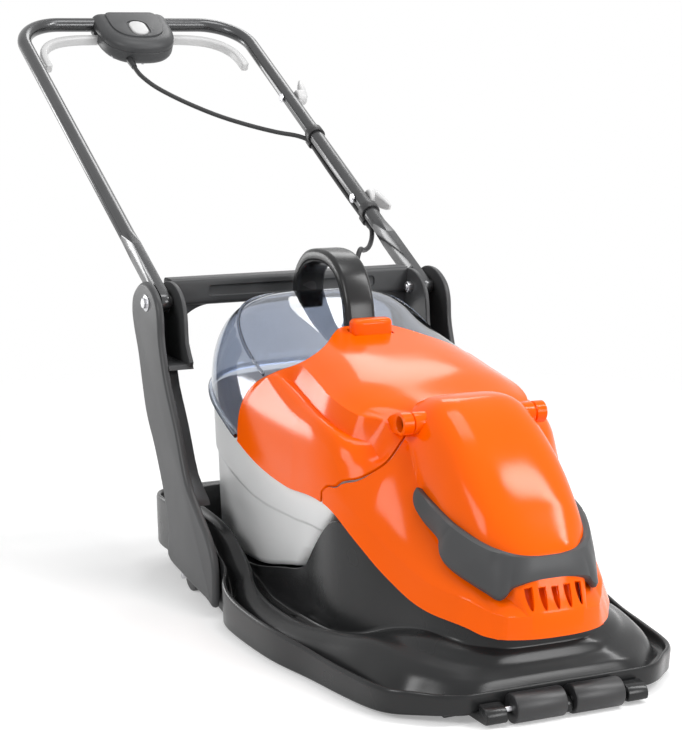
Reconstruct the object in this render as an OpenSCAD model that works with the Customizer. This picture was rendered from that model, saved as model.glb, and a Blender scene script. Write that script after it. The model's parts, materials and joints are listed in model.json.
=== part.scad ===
// Hover mower with a lift-up grass box, a fixed yoke and a folding handle.
// Millimetres. +Z is up, -Y is the front, X = 0 is the plane of symmetry.
// Y is counted from a datum on the deck, and place() moves the whole part to its own frame.

/* [Deck] */
// Half width of the deck at its widest
deck_half_w = 220; // [212:1:240]
// Distance from the datum to the deck's front edge
deck_front = 305; // [300:1:325]
// Distance from the datum to the deck's rear edge
deck_rear = 432; // [425:1:460]
// Half width of the deck's tail, between the feet of the yoke
tail_half_w = 203; // [199:1:206]
// Height of the tail's top
tail_h = 102; // [92:1:112]
// Height of the rim at the front
rim_h = 33; // [30:1:40]
// Thickness of the deck's skin
deck_wall = 3; // [2.4:0.1:4]
// Height of the deck's floor under the motor
motor_floor = 62; // [60:1:66]
// Length of the air slot beside the hood
scoop_len = 66; // [50:1:80]
// Width of the air slot beside the hood
scoop_w = 8; // [6:0.5:9]

/* [Front hood] */
// Distance from the datum to the hood's front face
hood_front = 302; // [296:1:310]
// Half width of the hood's front face
nose_half_w = 56; // [48:1:64]
// Half width of the hood where it meets the lid
hood_half_w = 152; // [148:1:156]
// Height of the nose's highest point
nose_top = 305; // [295:1:315]
// Half width of the nose
nose_bulge_w = 82; // [76:1:86]
// Thickness of the orange mouldings
hood_wall = 2.5; // [2:0.1:3.5]
// Number of vents in the hood's front
vent_count = 5; // [3:1:7]

/* [Grass box] */
// Half width of the tub
tub_half_w = 149; // [140:1:151]
// Thickness of the tub's wall
tub_wall = 2.5; // [2:0.1:4]
// Half width of the lid
lid_half_w = 155; // [152:1:160]
// Distance from the datum to the lid's rear edge
lid_rear = 380; // [360:1:382]
// Height of the dome that the lid's crest follows at the rear
lid_crest = 386; // [370:1:395]
// Thickness of the lid's skin
lid_wall = 2.5; // [2:0.1:3.5]
// Height of the carry handle's top
carry_top = 432; // [420:1:445]
// Width of the carry handle
carry_w = 40; // [30:1:46]

/* [Yoke] */
// Thickness of the yoke's outer panels
yoke_panel = 9; // [8:0.5:12]
// Height of the crossbar
crossbar_h = 36; // [28:1:44]
// Depth of the crossbar, front to rear
crossbar_d = 32; // [24:1:40]

/* [Handle] */
// Distance from the datum back to the handle's pivot
pivot_y = 376; // [370:1:382]
// Height of the handle's pivot
pivot_z = 359; // [355:1:363]
// Length from the pivot to the middle of the top bar
handle_len = 766; // [700:1:820]
// Angle of the handle above the horizontal at its rear stop
handle_angle = 27.7; // [25:0.1:30]
// Half distance between the legs
handle_half_w = 190; // [187:0.5:193]
// Diameter of the tube
tube_d = 22; // [20:0.5:24]
// Thickness of the tube's wall
tube_wall = 1.5; // [1:0.1:2.5]
// Radius of the tube's two bends
bend_r = 72; // [60:1:90]
// Radius of the pivot bolts
bolt_r = 4; // [3:0.5:5]

/* [Switch box] */
// Width of the switch box
box_w = 124; // [118:1:140]
// Length of the switch box below the top bar
box_len = 96; // [92:1:110]
// Height of the box above the middle of the bar
box_top_h = 18; // [17:1:24]
// Height of the box below the middle of the bar
box_base_h = 25; // [25:1:30]
// Thickness of the box's walls
box_wall = 3; // [2:0.1:3.4]
// Radius of the mains lead's inlet
inlet_r = 4.5; // [3.5:0.5:6]

/* [Drive] */
// Distance from the datum forward to the spindle
spindle_y = 100; // [96:1:104]
// Length of the blade
blade_len = 354; // [330:1:360]
// Width of the blade
blade_w = 50; // [40:1:60]
// Thickness of the blade
blade_t = 3; // [2.5:0.5:4]
// Height of the blade's underside
blade_z = 17; // [14:1:18]
// Radius of the impeller
fan_r = 112; // [90:1:116]
// Radius of the motor's can
motor_r = 44; // [38:1:48]
// Height of the motor's can
motor_h = 120; // [100:1:140]
// Radius of the spindle
shaft_r = 6; // [5:0.5:8]

/* [Rollers] */
// Radius of the front rollers
front_roller_r = 16; // [14:0.5:17]
// Width of each front roller
front_roller_w = 60; // [54:1:64]
// Radius of the rear roller
rear_roller_r = 22; // [20:0.5:22.5]
// Half length of the rear roller
rear_roller_half = 198; // [180:1:202]

/* [Clearances] */
// Gap between pieces that seat on each other
seat_gap = 0.3; // [0.2:0.05:0.4]
// Gap round turning shafts
run_gap = 0.05; // [0.03:0.01:0.08]
// Gap along the seam between hood and lid
seam_gap = 2.6; // [1.5:0.1:3]

/* [Hidden] */
$fn = 48;

orange = [0.95, 0.36, 0.02];
charcoal = [0.22, 0.23, 0.24];
mid_grey = [0.38, 0.39, 0.40];
pale_grey = [0.78, 0.79, 0.80];
steel = [0.72, 0.73, 0.75];

// Overall reach, from which the part's own frame is placed
axle_y = -(deck_front + 20);
handle_dir = [cos(handle_angle), sin(handle_angle)];
box_back = 14;
rear_reach = pivot_y + (handle_len + box_back) * handle_dir[0] + box_base_h * handle_dir[1];
front_reach = axle_y - front_roller_r;
mid_y = (rear_reach + front_reach) / 2;

// A smooth curve through a short table of [position, value] pairs
function slope(t, i) =
    let (a = max(0, i - 1), b = min(len(t) - 1, i + 1))
    (t[b][1] - t[a][1]) / (t[b][0] - t[a][0]);
function span(t, y, i = 0) = i >= len(t) - 2 || y < t[i + 1][0] ? i : span(t, y, i + 1);
function hermite(p, q, m, n, f) =
    p * (1 + 2 * f) * (1 - f) * (1 - f) + q * f * f * (3 - 2 * f)
    + m * f * (1 - f) * (1 - f) - n * f * f * (1 - f);
function curve(t, y) =
    let (i = span(t, y), w = t[i + 1][0] - t[i][0])
    let (f = min(1, max(0, (y - t[i][0]) / w)))
    hermite(t[i][1], t[i + 1][1], slope(t, i) * w, slope(t, i + 1) * w, f);
function mix(a, b, f) = a + (b - a) * f;
function flat(rows) = [for (r = rows) each r];

// A smooth line through a few plan points, with steps points from each to the next
function smooth(p, steps) = [
    for (i = [0:len(p) - 2], k = [0:steps - 1])
        let (f = k / steps, a = p[max(0, i - 1)], d = p[min(len(p) - 1, i + 2)])
        hermite(p[i], p[i + 1], (p[i + 1] - a) / 2, (d - p[i]) / 2, f)
];
// A closed outline from its right half, which runs from the front's middle to the rear's middle
function mirrored(right, rear) = concat(
    right, [rear], [for (i = [len(right) - 1:-1:1]) [-right[i][0], right[i][1]]]);

// A closed solid through rings of equal count, with a point at each end
module ring_solid(rings) {
    m = len(rings[0]);
    n = len(rings);
    mean = function (r) [for (k = [0:2]) [for (p = r) p[k]] * [for (p = r) 1] / m];
    points = concat(flat(rings), [mean(rings[0]), mean(rings[n - 1])]);
    sides = [
        for (i = [0:n - 2], j = [0:m - 1])
            let (a = i * m + j, b = i * m + (j + 1) % m)
            each [[a, b + m, b], [a, a + m, b + m]]
    ];
    ends = [
        for (j = [0:m - 1])
            let (k = (j + 1) % m)
            each [[n * m, j, k], [n * m + 1, (n - 1) * m + k, (n - 1) * m + j]]
    ];
    polyhedron(points, concat(sides, ends), convexity = 8);
}

// A curved sheet between two grids of equal size
module sheet(outer, inner) {
    r = len(outer);
    c = len(outer[0]);
    o = r * c;
    skin = [
        for (i = [0:r - 2], j = [0:c - 2])
            let (a = i * c + j)
            each [[a, a + c, a + c + 1], [a, a + c + 1, a + 1],
                  [o + a, o + a + c + 1, o + a + c], [o + a, o + a + 1, o + a + c + 1]]
    ];
    rims = concat(
        [for (j = [0:c - 2]) each [[j, j + 1, o + j + 1], [j, o + j + 1, o + j]]],
        [for (j = [0:c - 2]) let (a = (r - 1) * c + j)
            each [[a, o + a + 1, a + 1], [a, o + a, o + a + 1]]],
        [for (i = [0:r - 2]) let (a = i * c) each [[a, o + a + c, a + c], [a, o + a, o + a + c]]],
        [for (i = [0:r - 2]) let (a = i * c + c - 1)
            each [[a, a + c, o + a + c], [a, o + a + c, o + a]]]);
    polyhedron(concat(flat(outer), flat(inner)), concat(skin, rims), convexity = 8);
}

// A round tube along a line of points, with an even number of sides
module swept_tube(route, r, sides = 8) {
    rings = [
        for (i = [0:len(route) - 1])
            let (a = route[max(0, i - 1)], b = route[min(len(route) - 1, i + 1)])
            let (t = (b - a) / norm(b - a), s = cross(t, [0, 0.46, -0.89]))
            let (u = s / norm(s), v = cross(t, u))
            [for (k = [0:sides - 1]) route[i] + r * (cos(k * 360 / sides) * u + sin(k * 360 / sides) * v)]
    ];
    ring_solid(rings);
}

module place() { translate([0, -mid_y, 0]) children(); }
module at_x(x) { translate([x, 0, 0]) rotate([90, 0, 90]) children(); }
module both_sides() {
    children();
    mirror([1, 0, 0]) children();
}
module rod(r, x0, x1) { translate([x0, 0, 0]) rotate([0, 90, 0]) cylinder(r = r, h = x1 - x0); }

// Lines that the deck, hood, tub and lid share
trunnion_y = -115;
trunnion_z = 279.5;
trunnion_x = 77;
hood_seat = 1;
// Height of the lower edge of the hood and the lid
edge_line = [[-hood_front, 81], [-265, 91], [-226, 97], [-190, 107], [-150, 126], [-97, 160],
             [-31, 181], [55, 179], [140, 187], [212, 205], [272, 227], [338, 251], [lid_rear, 262]];
// Height of the upright strip above that edge
apron_line = [[-hood_front, 24], [-200, 24], [-100, 20], [-31, 12], [60, 7], [140, 4.5], [208, 3.6],
              [lid_rear, 3.6]];
// Half width of the hood and the lid
hood_line = [[-hood_front, nose_half_w], [-292, 68], [-272, 79], [-251, 90], [-216, 105], [-166, 118],
             [-130, 129], [-97, 140], [-31, hood_half_w], [40, lid_half_w]];
// Height of the crest over which the hood and the lid are domed
crest_line = [[-hood_front, 106], [-284, 122], [-250, 142], [-210, 170], [-168, 207], [-135, 252],
              [-112, 280],
              [-58, 292], [0, 310], [60, 324], [135, 338], [200, 352], [260, 368], [310, lid_crest - 4],
              [lid_rear, lid_crest + 4]];
// Height of the deck's top where the hood stands on it, and of its step down beside the tub
seat_line = concat([for (p = edge_line) if (p[0] < -90) [p[0], p[1] - hood_seat]],
                   [[-62, 163], [-38, 146], [-9, 116], [13, 92], [86, 72], [182, 53], [lid_rear, 53]]);
// Height of the floor inside that, below the tub
floor_line = [[-hood_front, motor_floor], [-20, motor_floor], [60, 56], [182, 50], [lid_rear, 50]];
// Where the hood and the lid meet, against the share of the half width
seam_line = [[0, -58], [0.28, -72], [0.5, -94], [0.62, -102], [0.74, -104], [0.84, -94], [0.92, -83],
             [0.985, -69], [0.995, -63], [1, -36]];
// How full the section of the dome is: its two exponents, and those of the lid's rear end
lid_turn = 240;
lid_full = 3.7;
lid_back = 2.8;
dome_p = [[-hood_front, 2.4], [-168, 2.2], [-112, 2.2], [-85, 2.1], [-40, 3.8], [60, lid_full],
          [lid_rear, lid_full]];
dome_q = [[-hood_front, 1.8], [-168, 1.4], [-112, 1.25], [-85, 1.4], [-40, 2.4], [60, 2.4], [lid_rear, 2.4]];
function dome(s, p, q) = pow(max(0, 1 - pow(abs(s), p)), 1 / q);
function body_z(y, s) =
    let (e = curve(edge_line, y) + curve(apron_line, y), r = max(0, (y - lid_turn) / (lid_rear - lid_turn)))
    let (g = max(0, 1 - pow(abs(s), curve(dome_p, y)) - pow(r, lid_back)))
    e + (curve(crest_line, y) - e) * pow(g, 1 / curve(dome_q, y));

// Deck: one skin from the middle of its underside, out to the rim and back in over the top
outer_line = mirrored(smooth([
    [0, -deck_front], [70, -deck_front + 1], [125, -deck_front + 11], [160, -272], [178, -235],
    [190, -175], [203, -110], [deck_half_w - 4, -45], [deck_half_w, 20], [deck_half_w, 80],
    [deck_half_w - 5, 112], [tail_half_w, 138], [tail_half_w, 180], [tail_half_w, 260],
    [tail_half_w - 1, 340], [tail_half_w - 6, 395], [tail_half_w - 25, deck_rear - 7],
    [140, deck_rear]], 2), [0, deck_rear]);
function beside_hood(y) = [curve(hood_line, y) - hood_wall - 0.5, y];
inner_line = mirrored(smooth([
    [0, -hood_front + 18], [36, -hood_front + 19], [54, -hood_front + 25], beside_hood(-258),
    beside_hood(-226), beside_hood(-168), beside_hood(-108), beside_hood(-54), [tub_half_w - 2, 20],
    [tub_half_w - 2, 80], [tub_half_w - 2, 112], [tub_half_w - 2, 140], [tub_half_w - 2, 180],
    [tub_half_w - 2, 255], [tub_half_w - 5, 318], [tub_half_w - 18, 350], [tub_half_w - 48, 366],
    [45, 371]], 2), [0, 372]);
rim_line = [[-deck_front, rim_h], [-150, rim_h + 2], [-60, rim_h + 7], [40, rim_h + 10], [100, rim_h + 18],
            [160, 74], [240, tail_h - 8], [320, tail_h], [deck_rear, tail_h - 4]];
hem_line = [[-deck_front, 10], [-270, 6], [-200, 2.5], [100, 2.5], [170, 10], [225, 48], [305, 48],
            [335, 35], [deck_rear, 34]];
gutter_line = [[-deck_front, 25], [-240, 22], [-150, 17], [110, 18], [165, 60], [240, tail_h - 4],
               [deck_rear, tail_h]];
shoulder_line = [[-deck_front, 60], [-236, 70], [-172, 68], [-110, 56], [-40, 48], [60, 46], [112, 54],
                 [180, 92], [250, tail_h + 2], [deck_rear, tail_h + 2]];
moat_line = [[-deck_front, 70], [-230, 84], [-170, 66], [-110, 38], [-50, 27], [90, 28], [150, 42],
             [220, 50], [deck_rear, 50]];

function deck_ring(f, z) = [
    for (k = [0:len(outer_line) - 1])
        let (p = mix(outer_line[k], inner_line[k], f))
        [p[0], p[1], z(p[1])]
];
well_mid = 35;
function well_ring(f, z) = [
    for (p = inner_line) let (y = mix(well_mid, p[1], f)) [p[0] * f, y, z(y)]
];
rim_at = function (y) curve(rim_line, y);
hem_at = function (y) curve(hem_line, y);
gutter_at = function (y) curve(gutter_line, y);
shoulder_at = function (y) curve(shoulder_line, y);
moat_at = function (y) curve(moat_line, y);
seat_at = function (y) curve(seat_line, y);
floor_at = function (y) curve(floor_line, y);
keel_at = function (y) min(moat_at(y), floor_at(y));
slope_at = function (y) min(moat_at(y), mix(shoulder_at(y) - 2, moat_at(y), 0.4));

module deck_skin() {
    low = function (z, d) function (y) z(y) - d;
    under = function (z) low(z, deck_wall);
    ring_solid([
        well_ring(0.1, under(floor_at)), well_ring(0.9, under(floor_at)),
        well_ring(0.96, under(keel_at)), deck_ring(0.93, under(keel_at)), deck_ring(0.76, under(slope_at)),
        deck_ring(0.62, low(shoulder_at, deck_wall + 5)), deck_ring(0.55, under(shoulder_at)),
        deck_ring(0.43, low(shoulder_at, deck_wall + 9)),
        deck_ring(0.3, under(gutter_at)), deck_ring(0.16, low(gutter_at, deck_wall + 2)),
        deck_ring(0.1, hem_at), deck_ring(0.02, hem_at), deck_ring(0, low(rim_at, 4)),
        deck_ring(0.04, rim_at), deck_ring(0.09, low(rim_at, 3)), deck_ring(0.17, gutter_at),
        deck_ring(0.28, gutter_at), deck_ring(0.4, low(shoulder_at, 9)), deck_ring(0.55, shoulder_at),
        deck_ring(0.68, low(shoulder_at, 2)), deck_ring(0.8, moat_at), deck_ring(0.91, moat_at),
        deck_ring(0.955, seat_at), deck_ring(1.0, seat_at), well_ring(0.97, floor_at),
        well_ring(0.9, floor_at), well_ring(0.1, floor_at)]);
}

// Places of the deck's fittings
screw_r = 2.5;
yoke_screw_places = [[196, 52], [290, 66]];
chute_w = 84;
chute_d = 40;
chute_y = 46;
chute_wall = 2.5;
roller_gap_half = front_roller_w + 46;
roller_cut_top = front_roller_r * 2 - 9;
motor_pcd = motor_r + 12;

module scoop_cut() {
    translate([deck_half_w - 63.5, -12, -60]) rotate([0, 0, -2.5]) {
        translate([-scoop_w / 2, -scoop_len / 2, 0]) cube([scoop_w, scoop_len, 120]);
        for (e = [-1, 1]) translate([0, e * scoop_len / 2, 0]) cylinder(d = scoop_w, h = 120);
    }
}
module deck() {
    color(charcoal) difference() {
        union() {
            deck_skin();
            translate([0, -spindle_y, motor_floor - 2 * deck_wall])
                cylinder(r = motor_pcd + 12, h = 2 * deck_wall);
        }
        both_sides() scoop_cut();
        translate([0, -spindle_y, 20]) cylinder(r = motor_r - 8, h = 100);
        for (a = [45:90:315]) translate([0, -spindle_y, 20]) rotate([0, 0, a])
            translate([motor_pcd, 0, 0]) cylinder(r = screw_r + run_gap, h = 60);
        translate([0, chute_y, 70]) cube([chute_w + 2 * seat_gap, chute_d + 2 * seat_gap, 80], center = true);
        translate([-roller_gap_half, -deck_front - 20, -1])
            cube([2 * roller_gap_half, 36, roller_cut_top + 1]);
        for (p = yoke_screw_places) translate([0, p[0], p[1]]) rod(screw_r + run_gap, -250, 250);
    }
}

module grass_chute() {
    color(mid_grey) translate([0, chute_y, 0]) difference() {
        translate([0, 0, 101]) cube([chute_w, chute_d, 98], center = true);
        translate([0, 0, 101]) cube([chute_w - 2 * chute_wall, chute_d - 2 * chute_wall, 110], center = true);
    }
}

// Front hood: apron, sloping wings and the nose that stands out of them
nose_crest = [[-hood_front, 108], [-292, 128], [-286, 150], [-278, 172], [-245, 215], [-179, 274],
              [-132, nose_top - 3], [-98, nose_top], [-75, nose_top - 6], [-56, nose_top - 13]];
nose_line = [[-hood_front, 36], [-281, 49], [-268, 60], [-250, 70], [-220, nose_bulge_w - 4],
             [-190, nose_bulge_w], [-55, nose_bulge_w]];
nose_cols = [0, 0.35, 0.62, 0.82, 0.94, 1];
wing_cols = [0.03, 0.25, 0.46, 0.66, 0.82, 0.93, 1];
nose_last = len(nose_cols) - 1;
hood_last = nose_last + len(wing_cols);
hood_rows = [0, 0.04, 0.075, 0.11, 0.16, 0.23, 0.31, 0.4, 0.5, 0.6, 0.7, 0.8, 0.9, 1];
function nose_at(y) = min(curve(hood_line, y) - 6, curve(nose_line, y));
// Share of the half width at which column k runs
function hood_share(k, y) =
    let (n = nose_at(y) / curve(hood_line, y))
    k <= nose_last ? n * nose_cols[k] : mix(n, 1, wing_cols[k - nose_last - 1]);
function hood_end(k, y = -100, turns = 5) =
    turns == 0 ? y : hood_end(k, curve(seam_line, hood_share(k, y)) - seam_gap, turns - 1);
function hood_z(y, x) =
    let (a = curve(hood_line, y), c = abs(x) / nose_at(y), e = curve(edge_line, y) + curve(apron_line, y))
    max(body_z(y, min(1, abs(x) / a)), c < 1 ? e + (curve(nose_crest, y) - e) * dome(c, 4.4, 2.8) : 0);
function hood_half(f, t) = [
    for (k = [0:hood_last])
        let (y = mix(-hood_front, hood_end(k), f), x = hood_share(k, y) * curve(hood_line, y))
        let (inset = 1 - t / curve(hood_line, y))
        [x * inset, y + t * (1 - f), hood_z(y, x) - t]
];
function hood_row(f, t) =
    let (h = hood_half(f, t), q = h[hood_last])
    let (edge = [q[0] + 0.8, q[1], curve(edge_line, q[1])])
    let (right = concat(h, [edge]))
    concat([for (k = [hood_last + 1:-1:1]) [-right[k][0], right[k][1], right[k][2]]], right);
function hood_grid(t) = concat(
    [[for (p = hood_row(0, t)) [p[0] * 1.01, p[1] - 0.8, edge_line[0][1]]]],
    [for (f = hood_rows) hood_row(f, t)]);
pin_r = 4;
boss_r = 8;
ear_r = 9;
ear_w = 13;
vent_pitch = 15;
vent_w = 6;
module front_hood() {
    color(orange) difference() {
        union() {
            sheet(hood_grid(0), hood_grid(hood_wall));
            both_sides() translate([0, trunnion_y, trunnion_z]) rod(boss_r, trunnion_x - 32, trunnion_x);
        }
        translate([0, trunnion_y, trunnion_z]) rod(pin_r + run_gap, -120, 120);
        for (k = [0:vent_count - 1])
            translate([(k - (vent_count - 1) / 2) * vent_pitch, 14 - hood_front, 110])
            rotate([50, 0, 0]) cube([vent_w, 20, 30], center = true);
    }
}

// Bumper: a band that lies round the lower part of the nose
bumper_t = 6;
bumper_gap = 2.1;
bumper_low = concat(smooth([[0, -291], [28, -290], [57, -283], [76, -266], [87, -238], [91, -208], [93, -186],
                            [91, -168]], 3), [[91, -168]]);
bumper_high = concat(smooth([[0, -279], [0.45, -277], [0.78, -268], [0.86, -250], [0.9, -228], [0.92, -204],
                             [0.93, -182], [0.94, -164]], 3), [[0.94, -164]]);
bumper_last = len(bumper_low) - 1;
function hood_normal(x, y) =
    let (dx = hood_z(y, x + 1) - hood_z(y, x - 1), dy = hood_z(y + 1, x) - hood_z(y - 1, x))
    let (v = [-dx / 2, -dy / 2, 1])
    v / norm(v);
function bumper_point(k, f, off) =
    let (q = bumper_high[abs(k)], high = [q[0] * nose_at(q[1]), q[1]], m = mix(bumper_low[abs(k)], high, f))
    let (x = sign(k) * m[0], n = hood_normal(x, m[1]))
    [x, m[1], hood_z(m[1], x)] + n * off;
function bumper_grid(off) = [
    for (k = [bumper_last:-1:-bumper_last]) [for (f = [0, 0.35, 0.7, 1]) bumper_point(k, f, off)]
];
module nose_bumper() {
    color(mid_grey) sheet(bumper_grid(bumper_gap + bumper_t), bumper_grid(bumper_gap));
}
module hinge_pins() {
    color(steel) both_sides() translate([0, trunnion_y, trunnion_z])
        rod(pin_r, trunnion_x - 20, trunnion_x + ear_w - 1);
}

// Tub: an open box whose floor follows the deck and whose upper edge follows the lid
tub_front = 18;
tub_rear = lid_rear - 9;
function tub_line(half_w, mid, front, rear, corner) = mirrored(smooth([
    [0, mid], [60, mid - 1], [half_w - 44, front], [half_w - corner, front + 3], [half_w - 3, front + corner],
    [half_w, 70], [half_w, 140], [half_w, 220], [half_w - 3, 290], [half_w - 12, rear - 36],
    [half_w - 40, rear - 10], [half_w - 90, rear - 1]], 2), [0, rear]);
tub_top = tub_line(tub_half_w, -40, -58, tub_rear, 18);
tub_foot = tub_line(tub_half_w - 5, tub_front, tub_front, tub_rear - 8, 26);
tub_mid = 160;
tub_step = 2;
function tub_ring(f, inset, lift) = [
    for (k = [0:len(tub_top) - 1])
        let (p = mix(tub_foot[k], tub_top[k], f), g = 1 - inset / tub_half_w)
        let (foot = seat_at(tub_foot[k][1]) + hood_seat, top = curve(edge_line, tub_top[k][1]) - hood_seat)
        [p[0] * g, mix(tub_mid, p[1], g), mix(foot, top, f) + lift]
];
function tub_floor(g, lift) = [
    for (p = tub_foot) let (y = mix(tub_mid, p[1], g)) [p[0] * g, y, seat_at(y) + hood_seat + lift]
];
module grass_tub() {
    color([0.68, 0.69, 0.70, 0.6]) difference() {
        ring_solid([
            tub_floor(0.1, 0), tub_floor(0.9, 0), tub_ring(0, 5, 0), tub_ring(0, tub_step, 6),
            tub_ring(0.6, tub_step, 0), tub_ring(0.63, 0, 0), tub_ring(1, 0, 0), tub_ring(1, tub_wall, 0),
            tub_ring(0.63, tub_wall, 0), tub_ring(0.6, tub_step + tub_wall, 0),
            tub_ring(0, tub_step + tub_wall, 8), tub_ring(0, 9, tub_wall), tub_floor(0.9, tub_wall),
            tub_floor(0.1, tub_wall)]);
        translate([0, chute_y, 90]) cube([chute_w + 4 * seat_gap, chute_d + 4 * seat_gap, 70], center = true);
    }
}

// Lid: an orange front and a clear rear of one dome
lid_rows = 10;
lid_half = [for (k = [0:hood_last]) hood_share(k, hood_end(k))];
lid_cols = concat([for (k = [hood_last:-1:1]) -lid_half[k]], lid_half);
join_line = [[0, 169], [0.2, 168], [0.32, 150], [0.46, 124], [0.6, 110], [0.73, 114], [0.84, 142],
             [0.93, 178], [1, 208]];
function lid_end(s) = lid_turn + (lid_rear - lid_turn) * dome(s, lid_full, lid_back);
function lid_point(y, s, t, edge) =
    let (w = curve(hood_line, y) - t, back = max(0, y - 300) / (lid_rear - 300))
    [s * w, y - t * back, edge ? curve(edge_line, y) : body_z(y, s) - t];
function lid_row(f, from, to, t) =
    let (at = function (s) mix(from(s), to(s), f))
    concat([lid_point(at(-1), -1, t, true) - [0.6, 0, 0]], [for (s = lid_cols) lid_point(at(s), s, t, false)],
           [lid_point(at(1), 1, t, true) + [0.6, 0, 0]]);
function lid_grid(from, to, t) = [for (i = [0:lid_rows]) lid_row(i / lid_rows, from, to, t)];
lid_front_at = function (s) curve(seam_line, abs(s)) + seam_gap;
join_at = function (s) curve(join_line, abs(s));
function window_grid(t) = [
    for (i = [0:lid_rows])
        [for (s = lid_cols) lid_point(mix(join_at(s) + seat_gap, lid_end(s), i / lid_rows), s, t, false)]
];
latch_y = 148;
latch_w = 54;
latch_d = 24;
latch_gap = 0.5;
module lid_cover() {
    color(orange) difference() {
        union() {
            sheet(lid_grid(lid_front_at, join_at, 0), lid_grid(lid_front_at, join_at, lid_wall));
            both_sides() translate([trunnion_x + 2 * seat_gap, trunnion_y, trunnion_z]) {
                rod(ear_r, 0, ear_w);
                rotate([-12, 0, 0]) translate([0, 6, -5]) cube([ear_w, 38, 10]);
            }
        }
        translate([0, trunnion_y, trunnion_z]) rod(pin_r + run_gap, -120, 120);
        translate([0, latch_y, 320])
            cube([latch_w + 2 * latch_gap, latch_d + 2 * latch_gap, 80], center = true);
    }
}
module lid_window() {
    color([0.75, 0.82, 0.9, 0.4]) sheet(window_grid(0), window_grid(lid_wall));
}

// Carry handle: an arch of channel section on the lid
carry_outer = smooth([[166, 336], [176, 376], [196, carry_top - 20], [228, carry_top - 3], [262, carry_top],
                      [306, carry_top - 6], [338, carry_top - 30], [348, 384], [350, 330]], 4);
carry_inner = smooth([[322, 330], [320, 376], [308, carry_top - 40], [284, carry_top - 29],
                      [256, carry_top - 27], [228, carry_top - 36], [208, 380], [200, 336]], 4);
carry_flange = 5;
module carry_shape() { polygon(concat(carry_outer, carry_inner)); }
module carry_handle() {
    color(charcoal) difference() {
        union() {
            at_x(-carry_w / 2) linear_extrude(carry_flange) carry_shape();
            at_x(carry_w / 2 - carry_flange) linear_extrude(carry_flange) carry_shape();
            at_x(-carry_w / 2 + 2) linear_extrude(carry_w - 4) intersection() {
                carry_shape();
                translate([3, -7]) carry_shape();
            }
        }
        lid_under();
    }
}
// The space below the lid's outer face, a seat's gap clear of it
module lid_under() {
    grid = [for (k = [0:12]) [for (s = [-0.3:0.1:0.3]) lid_point(140 + k * 18, s, -hood_seat / 2, false)]];
    sheet(grid, [for (row = grid) [for (p = row) [p[0], p[1], 200]]]);
}

latch_top = 357;
latch_flange = 333;
module latch_button() {
    color(orange) translate([0, latch_y, latch_flange]) {
        translate([-latch_w / 2, -latch_d / 2, 0]) cube([latch_w, latch_d, latch_top - latch_flange]);
        translate([-latch_w / 2 - 5, 3 - latch_d / 2, -2]) cube([latch_w + 10, latch_d - 6, 3]);
    }
}

// Yoke: two arms with feet on the deck's tail, joined by a crossbar
yoke_face = tail_half_w + 1.3;
yoke_half_w = yoke_face + yoke_panel;
pocket_floor = 285;
pocket_inner = handle_half_w - tube_d / 2 - 1;
wall_inner = pocket_inner - 6;
arm_line = [[150, 12], [146, 50], [152, 73], [170, 95], [200, 117], [240, 150], [273, 209], [308, 262],
            [328, 311], [332, 345], [340, 364], [354, 376], [374, 384], [398, 384], [420, 374], [434, 360],
            [437, 340], [430, 318], [414, 285], [389, 215], [356, 170], [322, 112], [309, 72], [310, 36],
            [262, 25], [176, 15]];
module arm_part(z0, z1) {
    intersection() {
        polygon(arm_line);
        translate([0, z0]) square([600, z1 - z0]);
    }
}
tube_flat_h = 26;
stop_drop = (tube_flat_h / 2 + seat_gap) / handle_dir[0];
module arm() {
    rear_y0 = 420;
    difference() {
        union() {
            at_x(yoke_face) linear_extrude(yoke_panel) polygon(arm_line);
            at_x(wall_inner) linear_extrude(pocket_inner - wall_inner) arm_part(pocket_floor - 6, 384);
            at_x(184) linear_extrude(yoke_face - 184) arm_part(112, pocket_floor);
            at_x(wall_inner) linear_extrude(yoke_face - wall_inner) difference() {
                arm_part(pocket_floor - 6, 384);
                translate([-12, -1]) arm_part(pocket_floor - 10, 400);
                translate([pivot_y, pivot_z - stop_drop]) rotate(handle_angle) square([200, 60]);
                translate([300, pocket_floor]) square([90, 120]);
            }
            at_x(wall_inner) linear_extrude(yoke_face - wall_inner) arm_part(pocket_floor - 6, pocket_floor);
        }
        translate([0, pivot_y, pivot_z]) {
            rod(bolt_r + run_gap, 160, 230);
            rod(bolt_head_r + 1, yoke_half_w - bolt_head_h, 230);
        }
        for (p = yoke_screw_places) translate([0, p[0], p[1]]) rod(screw_r + run_gap, 190, yoke_half_w - 3);
        translate([0, rear_axle_y, rear_roller_r]) rod(rear_axle_r + run_gap, 190, yoke_half_w - 3);
    }
}
crossbar_z = 350;
crossbar_y = 388;
web_r = 58;
module crossbar() {
    translate([-wall_inner - 1, crossbar_y, crossbar_z]) cube([2 * wall_inner + 2, crossbar_d, crossbar_h]);
    both_sides() translate([0, crossbar_y + crossbar_d - 6, 0]) rotate([90, 0, 0]) linear_extrude(20)
        difference() {
            translate([wall_inner - web_r, crossbar_z - web_r]) square([web_r + 1, web_r + 1]);
            translate([wall_inner - web_r, crossbar_z - web_r]) circle(r = web_r);
        }
}
grommet_x = 103;
grommet_r = 6;
module yoke() {
    color(mid_grey) difference() {
        union() {
            both_sides() arm();
            crossbar();
        }
        translate([-120, crossbar_y - 1, crossbar_z + 10]) cube([240, 4, crossbar_h - 20]);
        translate([grommet_x, crossbar_y + crossbar_d / 2, crossbar_z + 8])
            cylinder(r = grommet_r + run_gap, h = crossbar_h);
    }
}
module yoke_screws() {
    color(steel) both_sides() for (p = yoke_screw_places) translate([0, p[0], p[1]]) {
        rod(screw_r, tail_half_w - 10, yoke_half_w - 3.5);
        rod(screw_r * 2, tail_half_w - 13, tail_half_w - 10);
    }
}

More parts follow.
